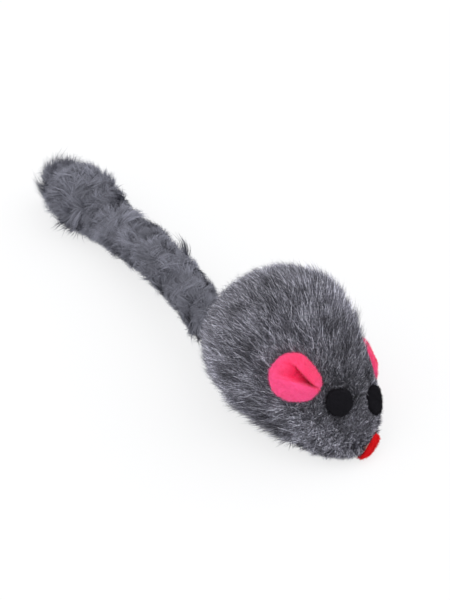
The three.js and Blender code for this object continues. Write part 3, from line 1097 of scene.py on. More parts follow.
@dataclass(frozen=True)
class Pile:
    """Cut and habit of a pile."""

    width: float
    lock_spacing: float
    lock_pull: float
    lock_turn: float
    lock_height: float
    hair_turn: float
    hair_length: float
    hair_height: float
    wave: float = 0.0
    wave_turns: float = 1.0
    ribbon_turn: float = 40.0
    rings: int = 5
    lift_power: float = 0.85
    lean_power: float = 1.25
    pull_power: float = 1.4
    follow_share: float = 0.95
    least_lift: float = 0.2
    least_bend: float = 0.004
    most_swing_radians: float = 1.5

    def grow(self, roots: Roots, area: float, seed: int) -> Strands:
        """Grows a strand from each root, drawn together into locks.

        Args:
            roots: The roots.
            area: Area that they cover, which gives the number of locks.
            seed: Seed of the random draws.

        Returns:
            The strands.
        """
        draw = np.random.default_rng(seed)
        count = len(roots.place)
        lock_count = min(max(int(area / self.lock_spacing**2), 1), count)
        centres = draw.choice(count, lock_count, replace=False)
        lock = nearest(roots.place[centres], roots.place)
        turns = draw.normal(0, math.radians(self.lock_turn), lock_count)[lock]
        turns = turns + draw.normal(0, math.radians(self.hair_turn), count)
        turns = turns * roots.scruff
        lay = turned(roots.lay, roots.out, turns)
        along = np.linspace(0, 1, self.rings)
        length = roots.length * (1 + draw.normal(0, self.hair_length, count))
        lift = 1 + draw.normal(0, self.lock_height, lock_count)[lock]
        lift = np.maximum(lift + draw.normal(0, self.hair_height, count), self.least_lift)
        rise = (roots.height * lift)[:, None] * along**self.lift_power
        bend = roots.bend * np.cos(turns) ** 2 + roots.side_bend * np.sin(turns) ** 2
        radius = 1 / np.maximum(bend * self.follow_share, self.least_bend)[:, None]
        swing = length[:, None] * along**self.lean_power / radius
        swing = np.minimum(swing, self.most_swing_radians)
        lean = (radius + rise) * np.sin(swing)
        rise = (radius + rise) * np.cos(swing) - radius
        lines = roots.place[:, None] + lay[:, None] * lean[..., None]
        lines = lines + roots.out[:, None] * rise[..., None]
        pull = roots.place[centres][lock] - roots.place
        pull = pull - roots.out * dot(pull, roots.out)
        drawn = self.lock_pull * along**self.pull_power
        lines = lines + pull[:, None] * drawn[None, :, None]
        phase = (draw.random(lock_count) * 2 * math.pi)[lock]
        phase = phase[:, None] + along * self.wave_turns * 2 * math.pi
        sway = (np.sin(phase) - np.sin(phase[:, :1])) * self.wave
        lines = lines + np.cross(roots.out, lay)[:, None] * sway[..., None]
        spin = draw.uniform(-1, 1, count) * math.radians(self.ribbon_turn)
        shades = np.stack([draw.random(lock_count)[lock], draw.random(count), roots.shade], axis=-1)
        return Strands(lines, roots.out, spin, shades, self.width)


def nearest(centres: Array, places: Array) -> Array:
    """Number of the nearest centre to each place.

    Args:
        centres: Centres, one a row.
        places: Places, one a row.

    Returns:
        The number of a centre for each place.
    """
    tree = KDTree(len(centres))
    for number, centre in enumerate(centres):
        tree.insert(centre, number)
    tree.balance()
    return np.array([tree.find(place)[1] for place in places])


@dataclass
class Strands:
    """Strands of fur as middle lines, with what turns them into ribbons."""

    lines: Array
    out: Array
    spin: Array
    shades: Array
    width: float
    floor_level: float = 0.06
    tip_share: float = 0.15

    def kept(self, keep: Array) -> Strands:
        """The strands that a mask keeps."""
        parts = (self.lines[keep], self.out[keep], self.spin[keep], self.shades[keep])
        return Strands(*parts, self.width)

    def rest_on_floor(self) -> None:
        """Lays what would sink into the floor on it."""
        heights = self.lines[..., 2]
        np.maximum(heights, self.floor_level, out=heights)

    def mesh(self) -> Mesh:
        """Ribbons that taper to a point, with their bake map.

        Returns:
            The mesh of all the strands.
        """
        count, rings, _ = self.lines.shape
        along = np.linspace(0, 1, rings)
        ahead = unit(np.gradient(self.lines, axis=1))
        across = unit(np.cross(ahead, self.out[:, None]))
        facing = np.cross(across, ahead)
        spin = self.spin[:, None, None]
        across = across * np.cos(spin) + facing * np.sin(spin)
        half = self.width / 2 * (1 - (1 - self.tip_share) * along**2)
        offset = across * half[None, :, None]
        pairs = np.stack([self.lines - offset, self.lines + offset], axis=2)[:, :-1]
        points_each = 2 * (rings - 1) + 1
        points = np.concatenate([pairs.reshape(count, -1, 3), self.lines[:, -1:]], axis=1)
        first = (np.arange(count) * points_each)[:, None]
        left = 2 * np.arange(rings - 2)[None]
        quads = np.stack([first + left + corner for corner in (0, 1, 3, 2)], axis=-1)
        last = 2 * (rings - 2)
        triangles = np.stack([first + last + corner for corner in range(3)], axis=-1)
        level = np.concatenate([np.repeat(along[:-1], 2), along[-1:]])
        shape = (count, points_each, 3)
        shades = np.broadcast_to(self.shades[:, None], shape)
        levels = np.broadcast_to(level[None, :, None], (count, points_each, 1))
        return Mesh(
            points.reshape(-1, 3),
            quads.reshape(-1, 4),
            triangles.reshape(-1, 3),
            strand=np.concatenate([levels, shades], axis=-1).reshape(-1, 4),
            bake_places=self._bake_places(level).reshape(-1, 2),
        )

    def _bake_places(self, level: Array) -> Array:
        """Places in a square map, where every strand has a cell of its own.

        Args:
            level: How far along a strand each of its points is, from 0 to 1.

        Returns:
            The place of each strand's points.
        """
        count = len(self.lines)
        columns = math.ceil(math.sqrt(count))
        margin = 0.15
        cell = np.stack([np.arange(count) % columns, np.arange(count) // columns], axis=-1)
        sides = np.concatenate([np.tile([0.0, 1.0], len(level) // 2), [0.5]])
        inside = margin + (1 - 2 * margin) * np.stack([sides, level], axis=-1)
        return (cell[:, None] + inside[None]) / columns


def grid_skin(rings: Array) -> Mesh:
    """Closed skin over rows of rings, with a pole at each end.

    Args:
        rings: Points as rings by sides by 3, without the poles.

    Returns:
        The mesh.
    """
    rows, sides, _ = rings.shape
    poles = np.stack([rings[0].mean(0), rings[-1].mean(0)])
    points = np.concatenate([rings.reshape(-1, 3), poles])
    row, side = np.meshgrid(np.arange(rows - 1), np.arange(sides), indexing="ij")
    after = (side + 1) % sides
    low, high = row * sides, (row + 1) * sides
    quads = np.stack([low + side, low + after, high + after, high + side], axis=-1).reshape(-1, 4)
    around = np.arange(sides)
    next_ = (around + 1) % sides
    first_pole, last_pole = rows * sides, rows * sides + 1
    last_row = (rows - 1) * sides
    foot = np.stack([np.full(sides, first_pole), next_, around], axis=-1)
    head = np.stack([np.full(sides, last_pole), last_row + around, last_row + next_], axis=-1)
    return outward(Mesh(points, quads, np.concatenate([foot, head])))


def outward(mesh: Mesh) -> Mesh:
    """Turns the faces of a closed mesh out, by the sign of its volume.

    Args:
        mesh: The mesh, which is changed.

    Returns:
        The same mesh.
    """
    tops = np.concatenate([mesh.quads[:, [0, 1, 2]], mesh.quads[:, [0, 2, 3]], mesh.triangles])
    a, b, c = (mesh.points[tops[:, corner]] for corner in range(3))
    if np.sum(a * np.cross(b, c)) < 0:
        mesh.quads = mesh.quads[:, ::-1]
        mesh.triangles = mesh.triangles[:, ::-1]
    return mesh


@dataclass
class Coat(ABC):
    """Furry surface, given by places along it and turns about it.

    Places along the body are pitches in radians, and along the tail shares of its length. Steps
    to a place's neighbours are in the same measure along the coat, and in radians round it.
    """

    low: float
    high: float
    heading: float
    most_curve: float
    strand_count: int
    pile: Pile
    backing_rings: int
    backing_sides: int
    rows: int = 240
    sides: int = 200
    step: float = 0.006

    @abstractmethod
    def skin_point(self, along: Array, turn: Array) -> Array:
        """Points of the backing.

        Args:
            along: Places along the coat.
            turn: Turns about it in radians.

        Returns:
            The points, one a row.
        """

    @abstractmethod
    def roots(self, along: Array, turn: Array) -> Roots:
        """Roots at places of the backing.

        Args:
            along: Places along the coat.
            turn: Turns about it in radians.

        Returns:
            The roots.
        """

    @abstractmethod
    def density(self, along: Array) -> Array:
        """Strands to an area at places along the coat, where 1 is plain."""

    def skin(self, low: float, high: float) -> Mesh:
        """Backing between two places along the coat, as a closed skin.

        Args:
            low: Where it starts.
            high: Where it ends.

        Returns:
            The mesh.
        """
        along = np.linspace(low, high, self.backing_rings)[:, None]
        turn = np.linspace(0, 2 * math.pi, self.backing_sides, endpoint=False)[None]
        return grid_skin(self.skin_point(*np.broadcast_arrays(along, turn)))

    def scatter(self, draw: np.random.Generator) -> tuple[Array, Array, float]:
        """Places spread over the backing by its area and density.

        Args:
            draw: Source of the random draws.

        Returns:
            Places along the coat, turns about it and the area that they stand for.
        """
        alongs = np.linspace(self.low, self.high, self.rows + 1)
        turns = np.linspace(0, 2 * math.pi, self.sides + 1)
        corners = self.skin_point(*np.broadcast_arrays(alongs[:, None], turns[None]))
        one = corners[1:, 1:] - corners[:-1, :-1]
        other = corners[1:, :-1] - corners[:-1, 1:]
        area = np.linalg.norm(np.cross(one, other), axis=-1) / 2
        weight = (area * self.density((alongs[1:] + alongs[:-1]) / 2)[:, None]).ravel()
        cell = draw.choice(weight.size, self.strand_count, p=weight / weight.sum())
        row, side = np.divmod(cell, self.sides)
        along = alongs[row] + draw.random(len(cell)) * (alongs[1] - alongs[0])
        turn = turns[side] + draw.random(len(cell)) * (turns[1] - turns[0])
        return along, turn, float(weight.sum())

    def directions(self, along: Array, turn: Array) -> tuple[Array, Array, Array, Array, Array]:
        """Places of the backing, with what a strand there grows by.

        Args:
            along: Places along the coat.
            turn: Turns about it in radians.

        Returns:
            Places, directions off the backing, directions of its lay, and its curvature along
            and round the coat.
        """
        here = self.skin_point(along, turn)
        ahead = self.skin_point(along + self.step, turn)
        behind = self.skin_point(along - self.step, turn)
        left = self.skin_point(along, turn + self.step)
        right = self.skin_point(along, turn - self.step)
        out = unit(np.cross(ahead - behind, left - right))

        def curvature(one: Array, other: Array) -> Array:
            """Curvature over two neighbours of each place, held to what a hair can follow."""
            speed = np.maximum(dot(one - other, one - other) / 4, TINY)
            return np.clip(-dot(one + other - 2 * here, out) / speed, 0, self.most_curve)[:, 0]

        lay = unit(ahead - behind) * self.heading
        return here, out, lay, curvature(ahead, behind), curvature(left, right)

    def strands(self, seed: int) -> tuple[Strands, Array]:
        """Pile of the whole coat.

        Args:
            seed: Seed of the random draws.

        Returns:
            The strands, and the place along the coat of each root.
        """
        along, turn, area = self.scatter(np.random.default_rng(seed))
        return self.pile.grow(self.roots(along, turn), area, seed + 1), along


BODY_PILE = Pile(
    width=0.14,
    lock_spacing=1.3,
    lock_pull=0.5,
    lock_turn=12.0,
    lock_height=0.18,
    hair_turn=18.0,
    hair_length=0.25,
    hair_height=0.18,
    wave=0.1,
)

TAIL_PILE = Pile(
    width=0.24,
    lock_spacing=1.15,
    lock_pull=0.6,
    lock_turn=65.0,
    lock_height=0.21,
    hair_turn=12.0,
    hair_length=0.2,
    hair_height=0.1,
    wave=0.5,
    wave_turns=0.6,
    ribbon_turn=8.0,
)


@dataclass
class BodyCoat(Coat):
    """Furry skin of the body: its backing and pile, laid from the nose to the rump."""

    low: float = -math.pi / 2 + POLE_GAP_RADIANS
    high: float = math.pi / 2 - POLE_GAP_RADIANS
    heading: float = -1.0
    most_curve: float = 0.12
    strand_count: int = 132000
    pile: Pile = BODY_PILE
    backing_rings: int = 90
    backing_sides: int = 110
    form: EggForm = field(default_factory=EggForm)
    depth: float = 3.3
    snout_depth: float = 1.5
    length: float = 4.3
    snout_length: float = 1.7
    snout_density: float = 2.0
    short_from_share: float = 0.4
    short_by_share: float = 0.9
    snout_scruff: float = 2.8
    # The brow fields darken the coat between the ears as painted shade.
    brow_share: float = 0.72
    brow_spread: float = 0.2
    brow_levels: tuple[float, float] = (0.3, 0.8)
    brow_shade: float = 0.5
    end_share: float = 0.9
    end_length: float = 0.9
    end_density: float = 3.0
    rump_share: float = 0.75
    rump_stand: float = 0.6
    # The fields from side_shade to side_spread set painted light and shade on the coat; the cheek
    # and flank places below serve them too.
    side_shade: float = 1.06
    left_shade: float = 0.24
    left_fade: tuple[float, float] = (0.3, 0.8)
    ridge_shade: float = 0.32
    ridge_fade: tuple[float, float] = (0.0, 0.5)
    ridge_turn: float = -32.0
    ridge_spread: float = 48.0
    flank_shade: float = 0.14
    cheek_shade: float = 0.18
    side_turn: float = -105.0
    side_spread: float = 45.0
    low_turn: float = -125.0
    low_spread: float = 35.0
    cheek_share: float = 0.54
    cheek_growth: float = 0.2
    flank_share: float = -0.13
    flank_trim: float = 0.2
    bulge_spread: float = 0.2
    seam_centre: float = 5.0
    seam_length: float = 26.0
    seam_width: float = 4.6
    seam_level: float = 4.0
    head_share: float = 0.47
    rump_from_share: float = 0.2

    def shortness(self, pitch: Array) -> Array:
        """How far the pile has shortened towards the snout, from 0 to 1."""
        return eased(np.sin(pitch), self.short_from_share, self.short_by_share)

    def depth_at(self, pitch: Array) -> Array:
        """Depth of the backing below the tips of the pile."""
        return self.depth + (self.snout_depth - self.depth) * self.shortness(pitch)

    def density(self, along: Array) -> Array:
        """Strands to an area, closer together on the snout and most of all at its end."""
        end = eased(np.sin(along), self.end_share, 1.0)
        return 1 + (self.snout_density - 1) * self.shortness(along) + self.end_density * end

    def skin_point(self, along: Array, turn: Array) -> Array:
        """Points of the backing."""
        return self.form.point(along, turn, self.depth_at(along))

    def cheek_and_flank(self, station: Array) -> tuple[Array, Array]:
        """How near stations are to the cheek and to the flank, from 0 to 1."""
        shares = (self.cheek_share, self.flank_share)
        return tuple(bell(station, share, self.bulge_spread) for share in shares)

    def roots(self, along: Array, turn: Array) -> Roots:
        """Roots at places of the backing, scruffy on the snout and fuller on the right cheek.

        Args:
            along: Places along the body, as pitches in radians.
            turn: Turns about it in radians.

        Returns:
            The roots.
        """
        here, out, lay, bend, side_bend = self.directions(along, turn)
        short = self.shortness(along)
        station = np.sin(along)
        rump = eased(-station, self.rump_share, 1.0)
        end = eased(station, self.end_share, 1.0)
        length = self.length + (self.snout_length - self.length) * short
        cheek, flank = self.cheek_and_flank(station)
        bulge = self.cheek_growth * cheek - self.flank_trim * flank
        return Roots(
            here,
            out,
            lay,
            bend * (1 - self.rump_stand * rump),
            side_bend,
            length + (self.end_length - length) * end,
            self.depth_at(along) * (1 + bulge * round_bell(turn, self.low_turn, self.low_spread)),
            1 + (self.snout_scruff - 1) * short,
            self.toning(station, turn),
        )

    def toning(self, station: Array, turn: Array) -> Array:
        """Painted light and shade on the coat: darker between the ears, along the back and on the
        right cheek, and paler on the left side behind the head and low on the right flank.

        Args:
            station: Shares of the way from the widest station to the nose or the rump.
            turn: Turns from the top towards the mouse's left, in radians.

        Returns:
            Factors of the coat's colour.
        """
        brow = bell(station, self.brow_share, self.brow_spread)
        brow = brow * eased(np.cos(turn), *self.brow_levels)
        ridge = round_bell(turn, self.ridge_turn, self.ridge_spread)
        ridge = ridge * (1 - eased(station, *self.ridge_fade))
        left = smooth(np.sin(turn)) * (1 - eased(station, *self.left_fade))
        cheek, flank = self.cheek_and_flank(station)
        side = self.flank_shade * flank - self.cheek_shade * cheek
        side = side * round_bell(turn, self.side_turn, self.side_spread)
        tone = self.side_shade + self.left_shade * left + side - self.ridge_shade * ridge
        return (1 - (1 - self.brow_shade) * brow) * tone

    def clear_of_seam(self, strands: Strands) -> Array:
        """Whether each strand keeps off the belly's seam.

        Args:
            strands: The strands.

        Returns:
            True or false for each.
        """
        x, y, z = np.moveaxis(strands.lines, -1, 0)
        along = np.abs(x - self.seam_centre) < self.seam_length / 2
        over = along & (np.abs(y) < self.seam_width / 2) & (z < self.seam_level)
        return ~over.any(axis=1)


@dataclass
class TailCoat(Coat):
    """Furry tail: its backing and woolly pile, laid away from the body."""

    low: float = -0.07
    high: float = 0.995
    heading: float = 1.0
    most_curve: float = 0.5
    strand_count: int = 60000
    pile: Pile = TAIL_PILE
    backing_rings: int = 40
    backing_sides: int = 48
    form: TailForm = field(default_factory=TailForm)
    skin_share: float = 0.5
    length: float = 4.0
    tuft_length: float = 3.8
    tuft_from_share: float = 0.7
    tip_share: float = 0.95
    low_side_growth: float = 0.12
    end_share: float = 0.85
    end_growth: float = 0.25
    end_density: float = 3.0
    end_shade: float = 1.22
    blend_reach: float = 6.0

    def skin_point(self, along: Array, turn: Array) -> Array:
        """Points of the backing."""
        return self.form.point(along, turn, self.skin_share)

    def roots(self, along: Array, turn: Array) -> Roots:
        """Roots at places of the backing, with fuller pile on the tuft.

        Args:
            along: Shares of the tail's length.
            turn: Turns about it in radians.

        Returns:
            The roots.
        """
        here, out, lay, bend, side_bend = self.directions(along, turn)
        tuft = eased(along, self.tuft_from_share, 1.0)
        end = self.form.tuft_radius * eased(along, self.end_share, 1.0)
        reach = np.maximum(self.form.radius(along), end) * (self.tip_share - self.skin_share)
        growth = (self.low_side_growth + self.end_growth * tuft) * smooth(np.sin(turn))
        return Roots(
            here,
            out,
            lay,
            bend,
            side_bend,
            self.length + (self.tuft_length - self.length) * tuft,
            reach * (1 + growth),
            np.ones(len(along)),
            1 + (self.end_shade - 1) * along,
        )

    def density(self, along: Array) -> Array:
        """Strands to an area, closer together at the tail's end."""
        return 1 + self.end_density * eased(along, self.end_share, 1.0)

    def cuts(self) -> list[float]:
        """Shares of the length where the coat is split: midway between bends.

        Returns:
            The shares, with both ends of the coat.
        """
        bends = self.form.bend_shares
        middles = [(a + b) / 2 for a, b in zip(bends, bends[1:])]
        return [self.low, *middles, self.high]


class FeltShape(Enum):
    """How a felt piece is worked."""

    FLAT = "flat"
    PINCHED = "pinched"


FELT_FIBRES = Pile(
    width=0.07,
    lock_spacing=1.0,
    lock_pull=0.0,
    lock_turn=30.0,
    lock_height=0.3,
    hair_turn=60.0,
    hair_length=0.4,
    hair_height=0.6,
    wave=0.06,
    rings=4,
)


@dataclass(frozen=True)
class Pinch:
    """Valley pinched into an ear at the end by the eye, in shares of the ear's radius."""

    apex: tuple[float, float] = (-0.9, -0.07)
    crisp_turn: float = -13.5
    soft_turn: float = 12.0
    deep_reach: float = 0.2
    crisp_reach: float = 1.5
    soft_reach: float = 1.9
    crisp_width: float = 0.05
    soft_width: float = 0.2
    apex_width: float = 0.06
    flare: float = 0.4
    soft_loss: float = 0.3
    floor_level: float = 0.45
    lobe_rise: float = 0.75
    lobe_width: float = 0.2
    lobe_from: float = 0.3
    overhang: float = 0.55
    soft_rise: float = 0.45
    rim_power: float = 0.35
    rise_power: float = 0.8
    # Amounts of painted shade on the lobe, in the seam under the crisp edge, in the valley and at
    # its apex.
    lobe_crease: float = 0.24
    lobe_crease_from: float = 0.5
    valley_crease: float = 0.52
    valley_fade: tuple[float, float] = (2.1, 1.0)
    seam_crease: float = 0.22
    seam_fade: tuple[float, float] = (1.4, 0.7)
    seam_place: float = 0.066
    seam_width: float = 0.11
    apex_crease: float = 0.3
    apex_fade: tuple[float, float] = (0.63, 0.18)
    fold_width: float = 0.04
    folds: tuple[tuple[float, ...], ...] = (
        (0.27, -0.34, 0.72, -0.27, 0.14),
        (0.27, -0.34, 0.13, -0.28, 0.22),
        (0.13, -0.28, 0.17, -0.06, 0.18),
        (-0.32, 0.01, 0.73, 0.38, 0.16),
    )

    def folded(self, u: Array, v: Array) -> Array:
        """How deep points lie in the small folds beyond the valley.

        Args:
            u: Shares of the radius away from the eye.
            v: Shares of the radius towards the valley's soft side.

        Returns:
            The depths, from 0 to 1. Each fold is given by its two ends and its depth.
        """
        total = np.zeros_like(u)
        for u1, v1, u2, v2, depth in self.folds:
            du, dv = u2 - u1, v2 - v1
            share = np.clip(((u - u1) * du + (v - v1) * dv) / (du**2 + dv**2), 0, 1)
            apart = np.hypot(u - u1 - share * du, v - v1 - share * dv)
            total = total + depth * bell(apart, 0.0, self.fold_width)
        return total

    def creased(self, reach: Array, crisp: Array, inside: Array) -> Array:
        """How much painted shade points take in the crease, along the crisp edge and on the lobe,
        but for the small folds.

        Args:
            reach: Distances from the apex.
            crisp: Places past the crisp edge towards the valley's middle.
            inside: Whether each point lies in the valley, from 0 to 1.

        Returns:
            The amounts of painted shade, which can pass 1 where they add up.
        """
        half = self.crisp_width / 2
        lobe = eased(crisp, half, -half) * eased(reach, 0.0, self.lobe_crease_from)
        seam = bell(crisp, self.seam_place, self.seam_width) * eased(reach, *self.seam_fade)
        valley = self.valley_crease * eased(reach, *self.valley_fade)
        valley = valley + self.apex_crease * eased(reach, *self.apex_fade)
        return self.lobe_crease * lobe + self.seam_crease * seam + valley * inside

    def fields(self, u: Array, v: Array) -> tuple[Array, Array, Array, Array, Array]:
        """Where points lie in the valley.

        Args:
            u: Shares of the radius away from the eye.
            v: Shares of the radius towards the valley's soft side.

        Returns:
            Distance from the apex, places past the crisp and the soft edge towards the valley's
            middle, and, from 0 to 1, whether each point lies in the valley and how deep.
        """
        along, across = u - self.apex[0], v - self.apex[1]
        reach = np.hypot(along, across)
        heading = np.arctan2(across, along)
        past_crisp = reach * np.sin(heading - math.radians(self.crisp_turn))
        past_soft = reach * np.sin(math.radians(self.soft_turn) - heading)
        share = np.clip(past_crisp / np.maximum(past_crisp + past_soft, TINY), 0, 1)
        length = self.crisp_reach + (self.soft_reach - self.crisp_reach) * share
        crisp = self.crisp_width / 2
        soft = np.minimum(self.soft_width, self.apex_width + self.flare * reach) / 2
        inside = eased(past_crisp, -crisp, crisp) * eased(past_soft, -soft, soft)
        valley = inside * eased(reach, self.deep_reach + length, self.deep_reach)
        return reach, past_crisp, past_soft, inside, valley * (1 - self.soft_loss * share)


@dataclass
class FeltPiece:
    """Cut felt piece that lies on the fur, with a soft edge and loose fibres."""

    name: str
    seat: Seat
    half_length: float
    half_width: float
    thickness: float = 1.2
    crown: float = 0.4
    edge: float = 0.45
    gap: float = 0.3
    power: float = 2.0
    outline_wobble: float = 0.012
    outline_waves: tuple[int, ...] = (2, 3, 5, 8, 13)
    outline_seed: int = 1
    dents: tuple[tuple[float, float, float], ...] = ()
    lumps: float = 0.05
    lump_waves: tuple[float, ...] = (0.7, 1.3, 2.1)
    shape: FeltShape = FeltShape.FLAT
    pinch: Pinch = Pinch()
    mirrored: bool = False
    rise: float = 2.2
    drape: float = 1.0
    touch: float = 0.12
    bed: float = 0.12
    bed_rim: float = 0.97
    bed_fade: tuple[float, float] = (0.35, 0.7)
    bed_end: tuple[float, float] = (-1.05, -0.05)
    bed_reach: float = 0.5
    bed_slope: float = 1.6
    fibre_count: int = 1600
    fibre_length: float = 0.65
    fibre_lift_share: float = 1 / 3
    fibres_a_lock: int = 4
    fibre_facing: float = -0.3
    rings: int = 34
    sides: int = 120
    edge_rings: int = 7
    core_share: float = 0.02

    def outline(self, turn: Array) -> Array:
        """Share of the plain outline's size at each turn about the piece.

        Args:
            turn: Turns in radians.

        Returns:
            The shares, with the outline's wobble and its dents, which are given as the turn of
            their middle and their width in degrees, and their depth as a share.
        """
        draw = np.random.default_rng(self.outline_seed)
        cosine, sine = np.abs(np.cos(turn)), np.abs(np.sin(turn))
        total = (cosine**self.power + sine**self.power) ** (-1 / self.power)
        for waves in self.outline_waves:
            size = self.outline_wobble * draw.normal() / math.sqrt(waves)
            total = total + size * np.cos(waves * turn + draw.random() * 2 * math.pi)
        for middle, width, depth in self.dents:
            total = total - depth * round_bell(turn, middle * self._hand(), width)
        return total

    def _hand(self) -> float:
        """Side of the piece that its second axis stands for: 1, or -1 where it is mirrored."""
        return -1.0 if self.mirrored else 1.0

    def surface(self, head: Head) -> Mesh:
        """Felt with its upper face, rounded edge and underside.

        Args:
            head: The head that it lies on.

        Returns:
            The mesh, in the mouse's frame.
        """
        turn = np.linspace(0, 2 * math.pi, self.sides, endpoint=False)
        inner = 1 - self.edge / self.half_width
        flat = np.linspace(self.core_share, inner, self.rings)
        edge_turn = np.linspace(0, math.pi, self.edge_rings + 2)[1:-1]
        edge = inner + (1 - inner) * np.sin(edge_turn)
        shares = np.concatenate([flat, edge, flat[::-1]])[:, None]
        edge = (1 + np.cos(edge_turn)) / 2
        levels = np.concatenate([np.ones_like(flat), edge, np.zeros_like(flat)])[:, None]
        size = shares * self.outline(turn)[None]
        x = size * self.half_length * np.cos(turn)
        y = size * self.half_width * np.sin(turn)
        top = self.thickness + self.crown * (1 - np.minimum(shares, 1) ** 2) + self._lumps(x, y)
        bottom = np.zeros_like(x)
        crease = np.zeros_like(x)
        if self.shape is FeltShape.PINCHED:
            x, y, top, bottom, crease = self._pinched(x, y, top, levels, shares)
        z = bottom + (top - bottom) * levels + self.gap + self._draped(head, x, y)
        mesh = outward(grid_skin(self.seat.world(np.stack([x, y, z], axis=-1))))
        mesh.crease = np.concatenate([crease.ravel(), [crease[0].mean(), 0.0]])
        return mesh

    def _draped(self, head: Head, x: Array, y: Array) -> Array:
        """Level of the fur as the felt follows it."""
        return self.drape * head.fur_level(self.seat, x, y)

    def _lumps(self, x: Array, y: Array) -> Array:
        """Slow unevenness of the felt.

        Args:
            x: Places along the piece.
            y: Places across it.

        Returns:
            How far the felt rises at each.
        """
        draw = np.random.default_rng(self.outline_seed + SEED_STEP)
        total = np.zeros_like(x)
        for waves in self.lump_waves:
            angle, phase = draw.random(2) * 2 * math.pi
            total = total + np.sin(waves * (x * math.cos(angle) + y * math.sin(angle)) + phase)
        return total * self.lumps

    def _pinched(
        self, x: Array, y: Array, top: Array, level: Array, share: Array
    ) -> tuple[Array, Array, Array, Array, Array]:
        """Pinches the felt into a valley under an overhanging lobe.

        Args:
            x: Places along the piece.
            y: Places across it.
            top: Levels of the plain felt's upper face.
            level: 1 on the upper face and 0 on the underside.
            share: Share of the way from the middle to the rim.

        Returns:
            The moved places, levels of the upper face and of the underside, and how much painted
            crease shade each point takes.
        """
        pinch, hand, width = self.pinch, self._hand(), self.pinch.lobe_width
        places = x / self.half_length, y * hand / self.half_length
        reach, crisp, soft, inside, valley = pinch.fields(*places)
        rim = np.clip(1 - share**2, 0, 1)
        near = eased(reach, 0.0, pinch.lobe_from) * eased(reach, pinch.crisp_reach, 0.0)
        lobe = bell(crisp, -width / 2, width) * near * rim**pinch.rim_power
        shoulder = bell(soft, -width, width) * rim**pinch.rim_power
        shoulder = shoulder * eased(reach, pinch.soft_reach, 0.0)
        least = self.thickness / 3
        bottom = self.rise * rim**pinch.rise_power
        raised = top + bottom + pinch.lobe_rise * lobe + pinch.soft_rise * shoulder
        raised = raised + (pinch.floor_level + least - raised) * valley
        bottom = np.minimum(bottom, raised - least) * (1 - valley)
        folded = pinch.folded(*places)
        raised = raised - folded * self.thickness / 2
        # Painted shade in the crease, along the crisp edge, on the lobe and in the small folds.
        crease = pinch.creased(reach, crisp, inside) + folded
        shift = pinch.overhang * lobe * level * eased(crisp, pinch.crisp_width, 0.0)
        turn = math.radians(pinch.crisp_turn)
        x = x - shift * math.sin(turn)
        y = y + shift * math.cos(turn) * hand
        return x, y, raised, bottom, np.clip(crease * level, 0, 1)

    def fibres(self, mesh: Mesh) -> Mesh:
        """Loose fibres over the upper face and edge.

        Args:
            mesh: The felt's own mesh.

        Returns:
            The mesh of the fibres.
        """
        draw = np.random.default_rng(self.outline_seed + 2 * SEED_STEP)
        corners = mesh.points[mesh.quads]
        normals = np.cross(corners[:, 2] - corners[:, 0], corners[:, 3] - corners[:, 1])
        seen = dot(unit(normals), self.seat.axes[2])[:, 0] > self.fibre_facing
        area = np.linalg.norm(normals, axis=1) * seen
        face = draw.choice(len(area), self.fibre_count, p=area / area.sum())
        weights = draw.dirichlet(np.ones(4), self.fibre_count)
        place = np.sum(corners[face] * weights[..., None], axis=1)
        normal = unit(normals[face])
        ones = np.ones(self.fibre_count)
        lay = unit(np.cross(normal, draw.normal(size=place.shape)))
        length = self.fibre_length * ones
        lift = length * self.fibre_lift_share
        roots = Roots(place, normal, lay, 0 * ones, 0 * ones, length, lift, ones, ones)
        locks = self.fibre_count / self.fibres_a_lock
        strands = FELT_FIBRES.grow(roots, locks, self.outline_seed + 3 * SEED_STEP)
        strands.rest_on_floor()
        grown = strands.mesh()
        # Each fibre takes the painted crease shade of the face that it grows from.
        kept = mesh.crease[mesh.quads[face, 0]]
        grown.crease = np.repeat(kept, len(grown.points) // self.fibre_count)
        return grown

    def press(self, strands: Strands, head: Head) -> None:
        """Holds the fur that lies under the piece down below it, and dips the fur beside it.

        Args:
            strands: The pile, which is changed.
            head: The head that the piece lies on.
        """
        x, y, z = np.moveaxis(self.seat.local(strands.lines), -1, 0)
        along, across = x / self.half_length, y / self.half_width
        spread = np.hypot(along, across) / self.outline(np.arctan2(across, along))
        under = (spread < self.bed_rim + self.bed_reach) & (np.abs(z) < self.half_length)
        spread, along = spread[under], along[under]
        bed = (self.bed - self.touch) * eased(spread, *self.bed_fade)
        level = self._draped(head, x[under], y[under]) + self.gap - self.touch
        level = level - bed * eased(along, *self.bed_end)
        beside = np.maximum(spread - self.bed_rim, 0) * self.half_width
        level = level + beside * self.bed_slope
        z[under] = np.minimum(z[under], level)
        strands.lines[...] = self.seat.world(np.stack([x, y, z], axis=-1))


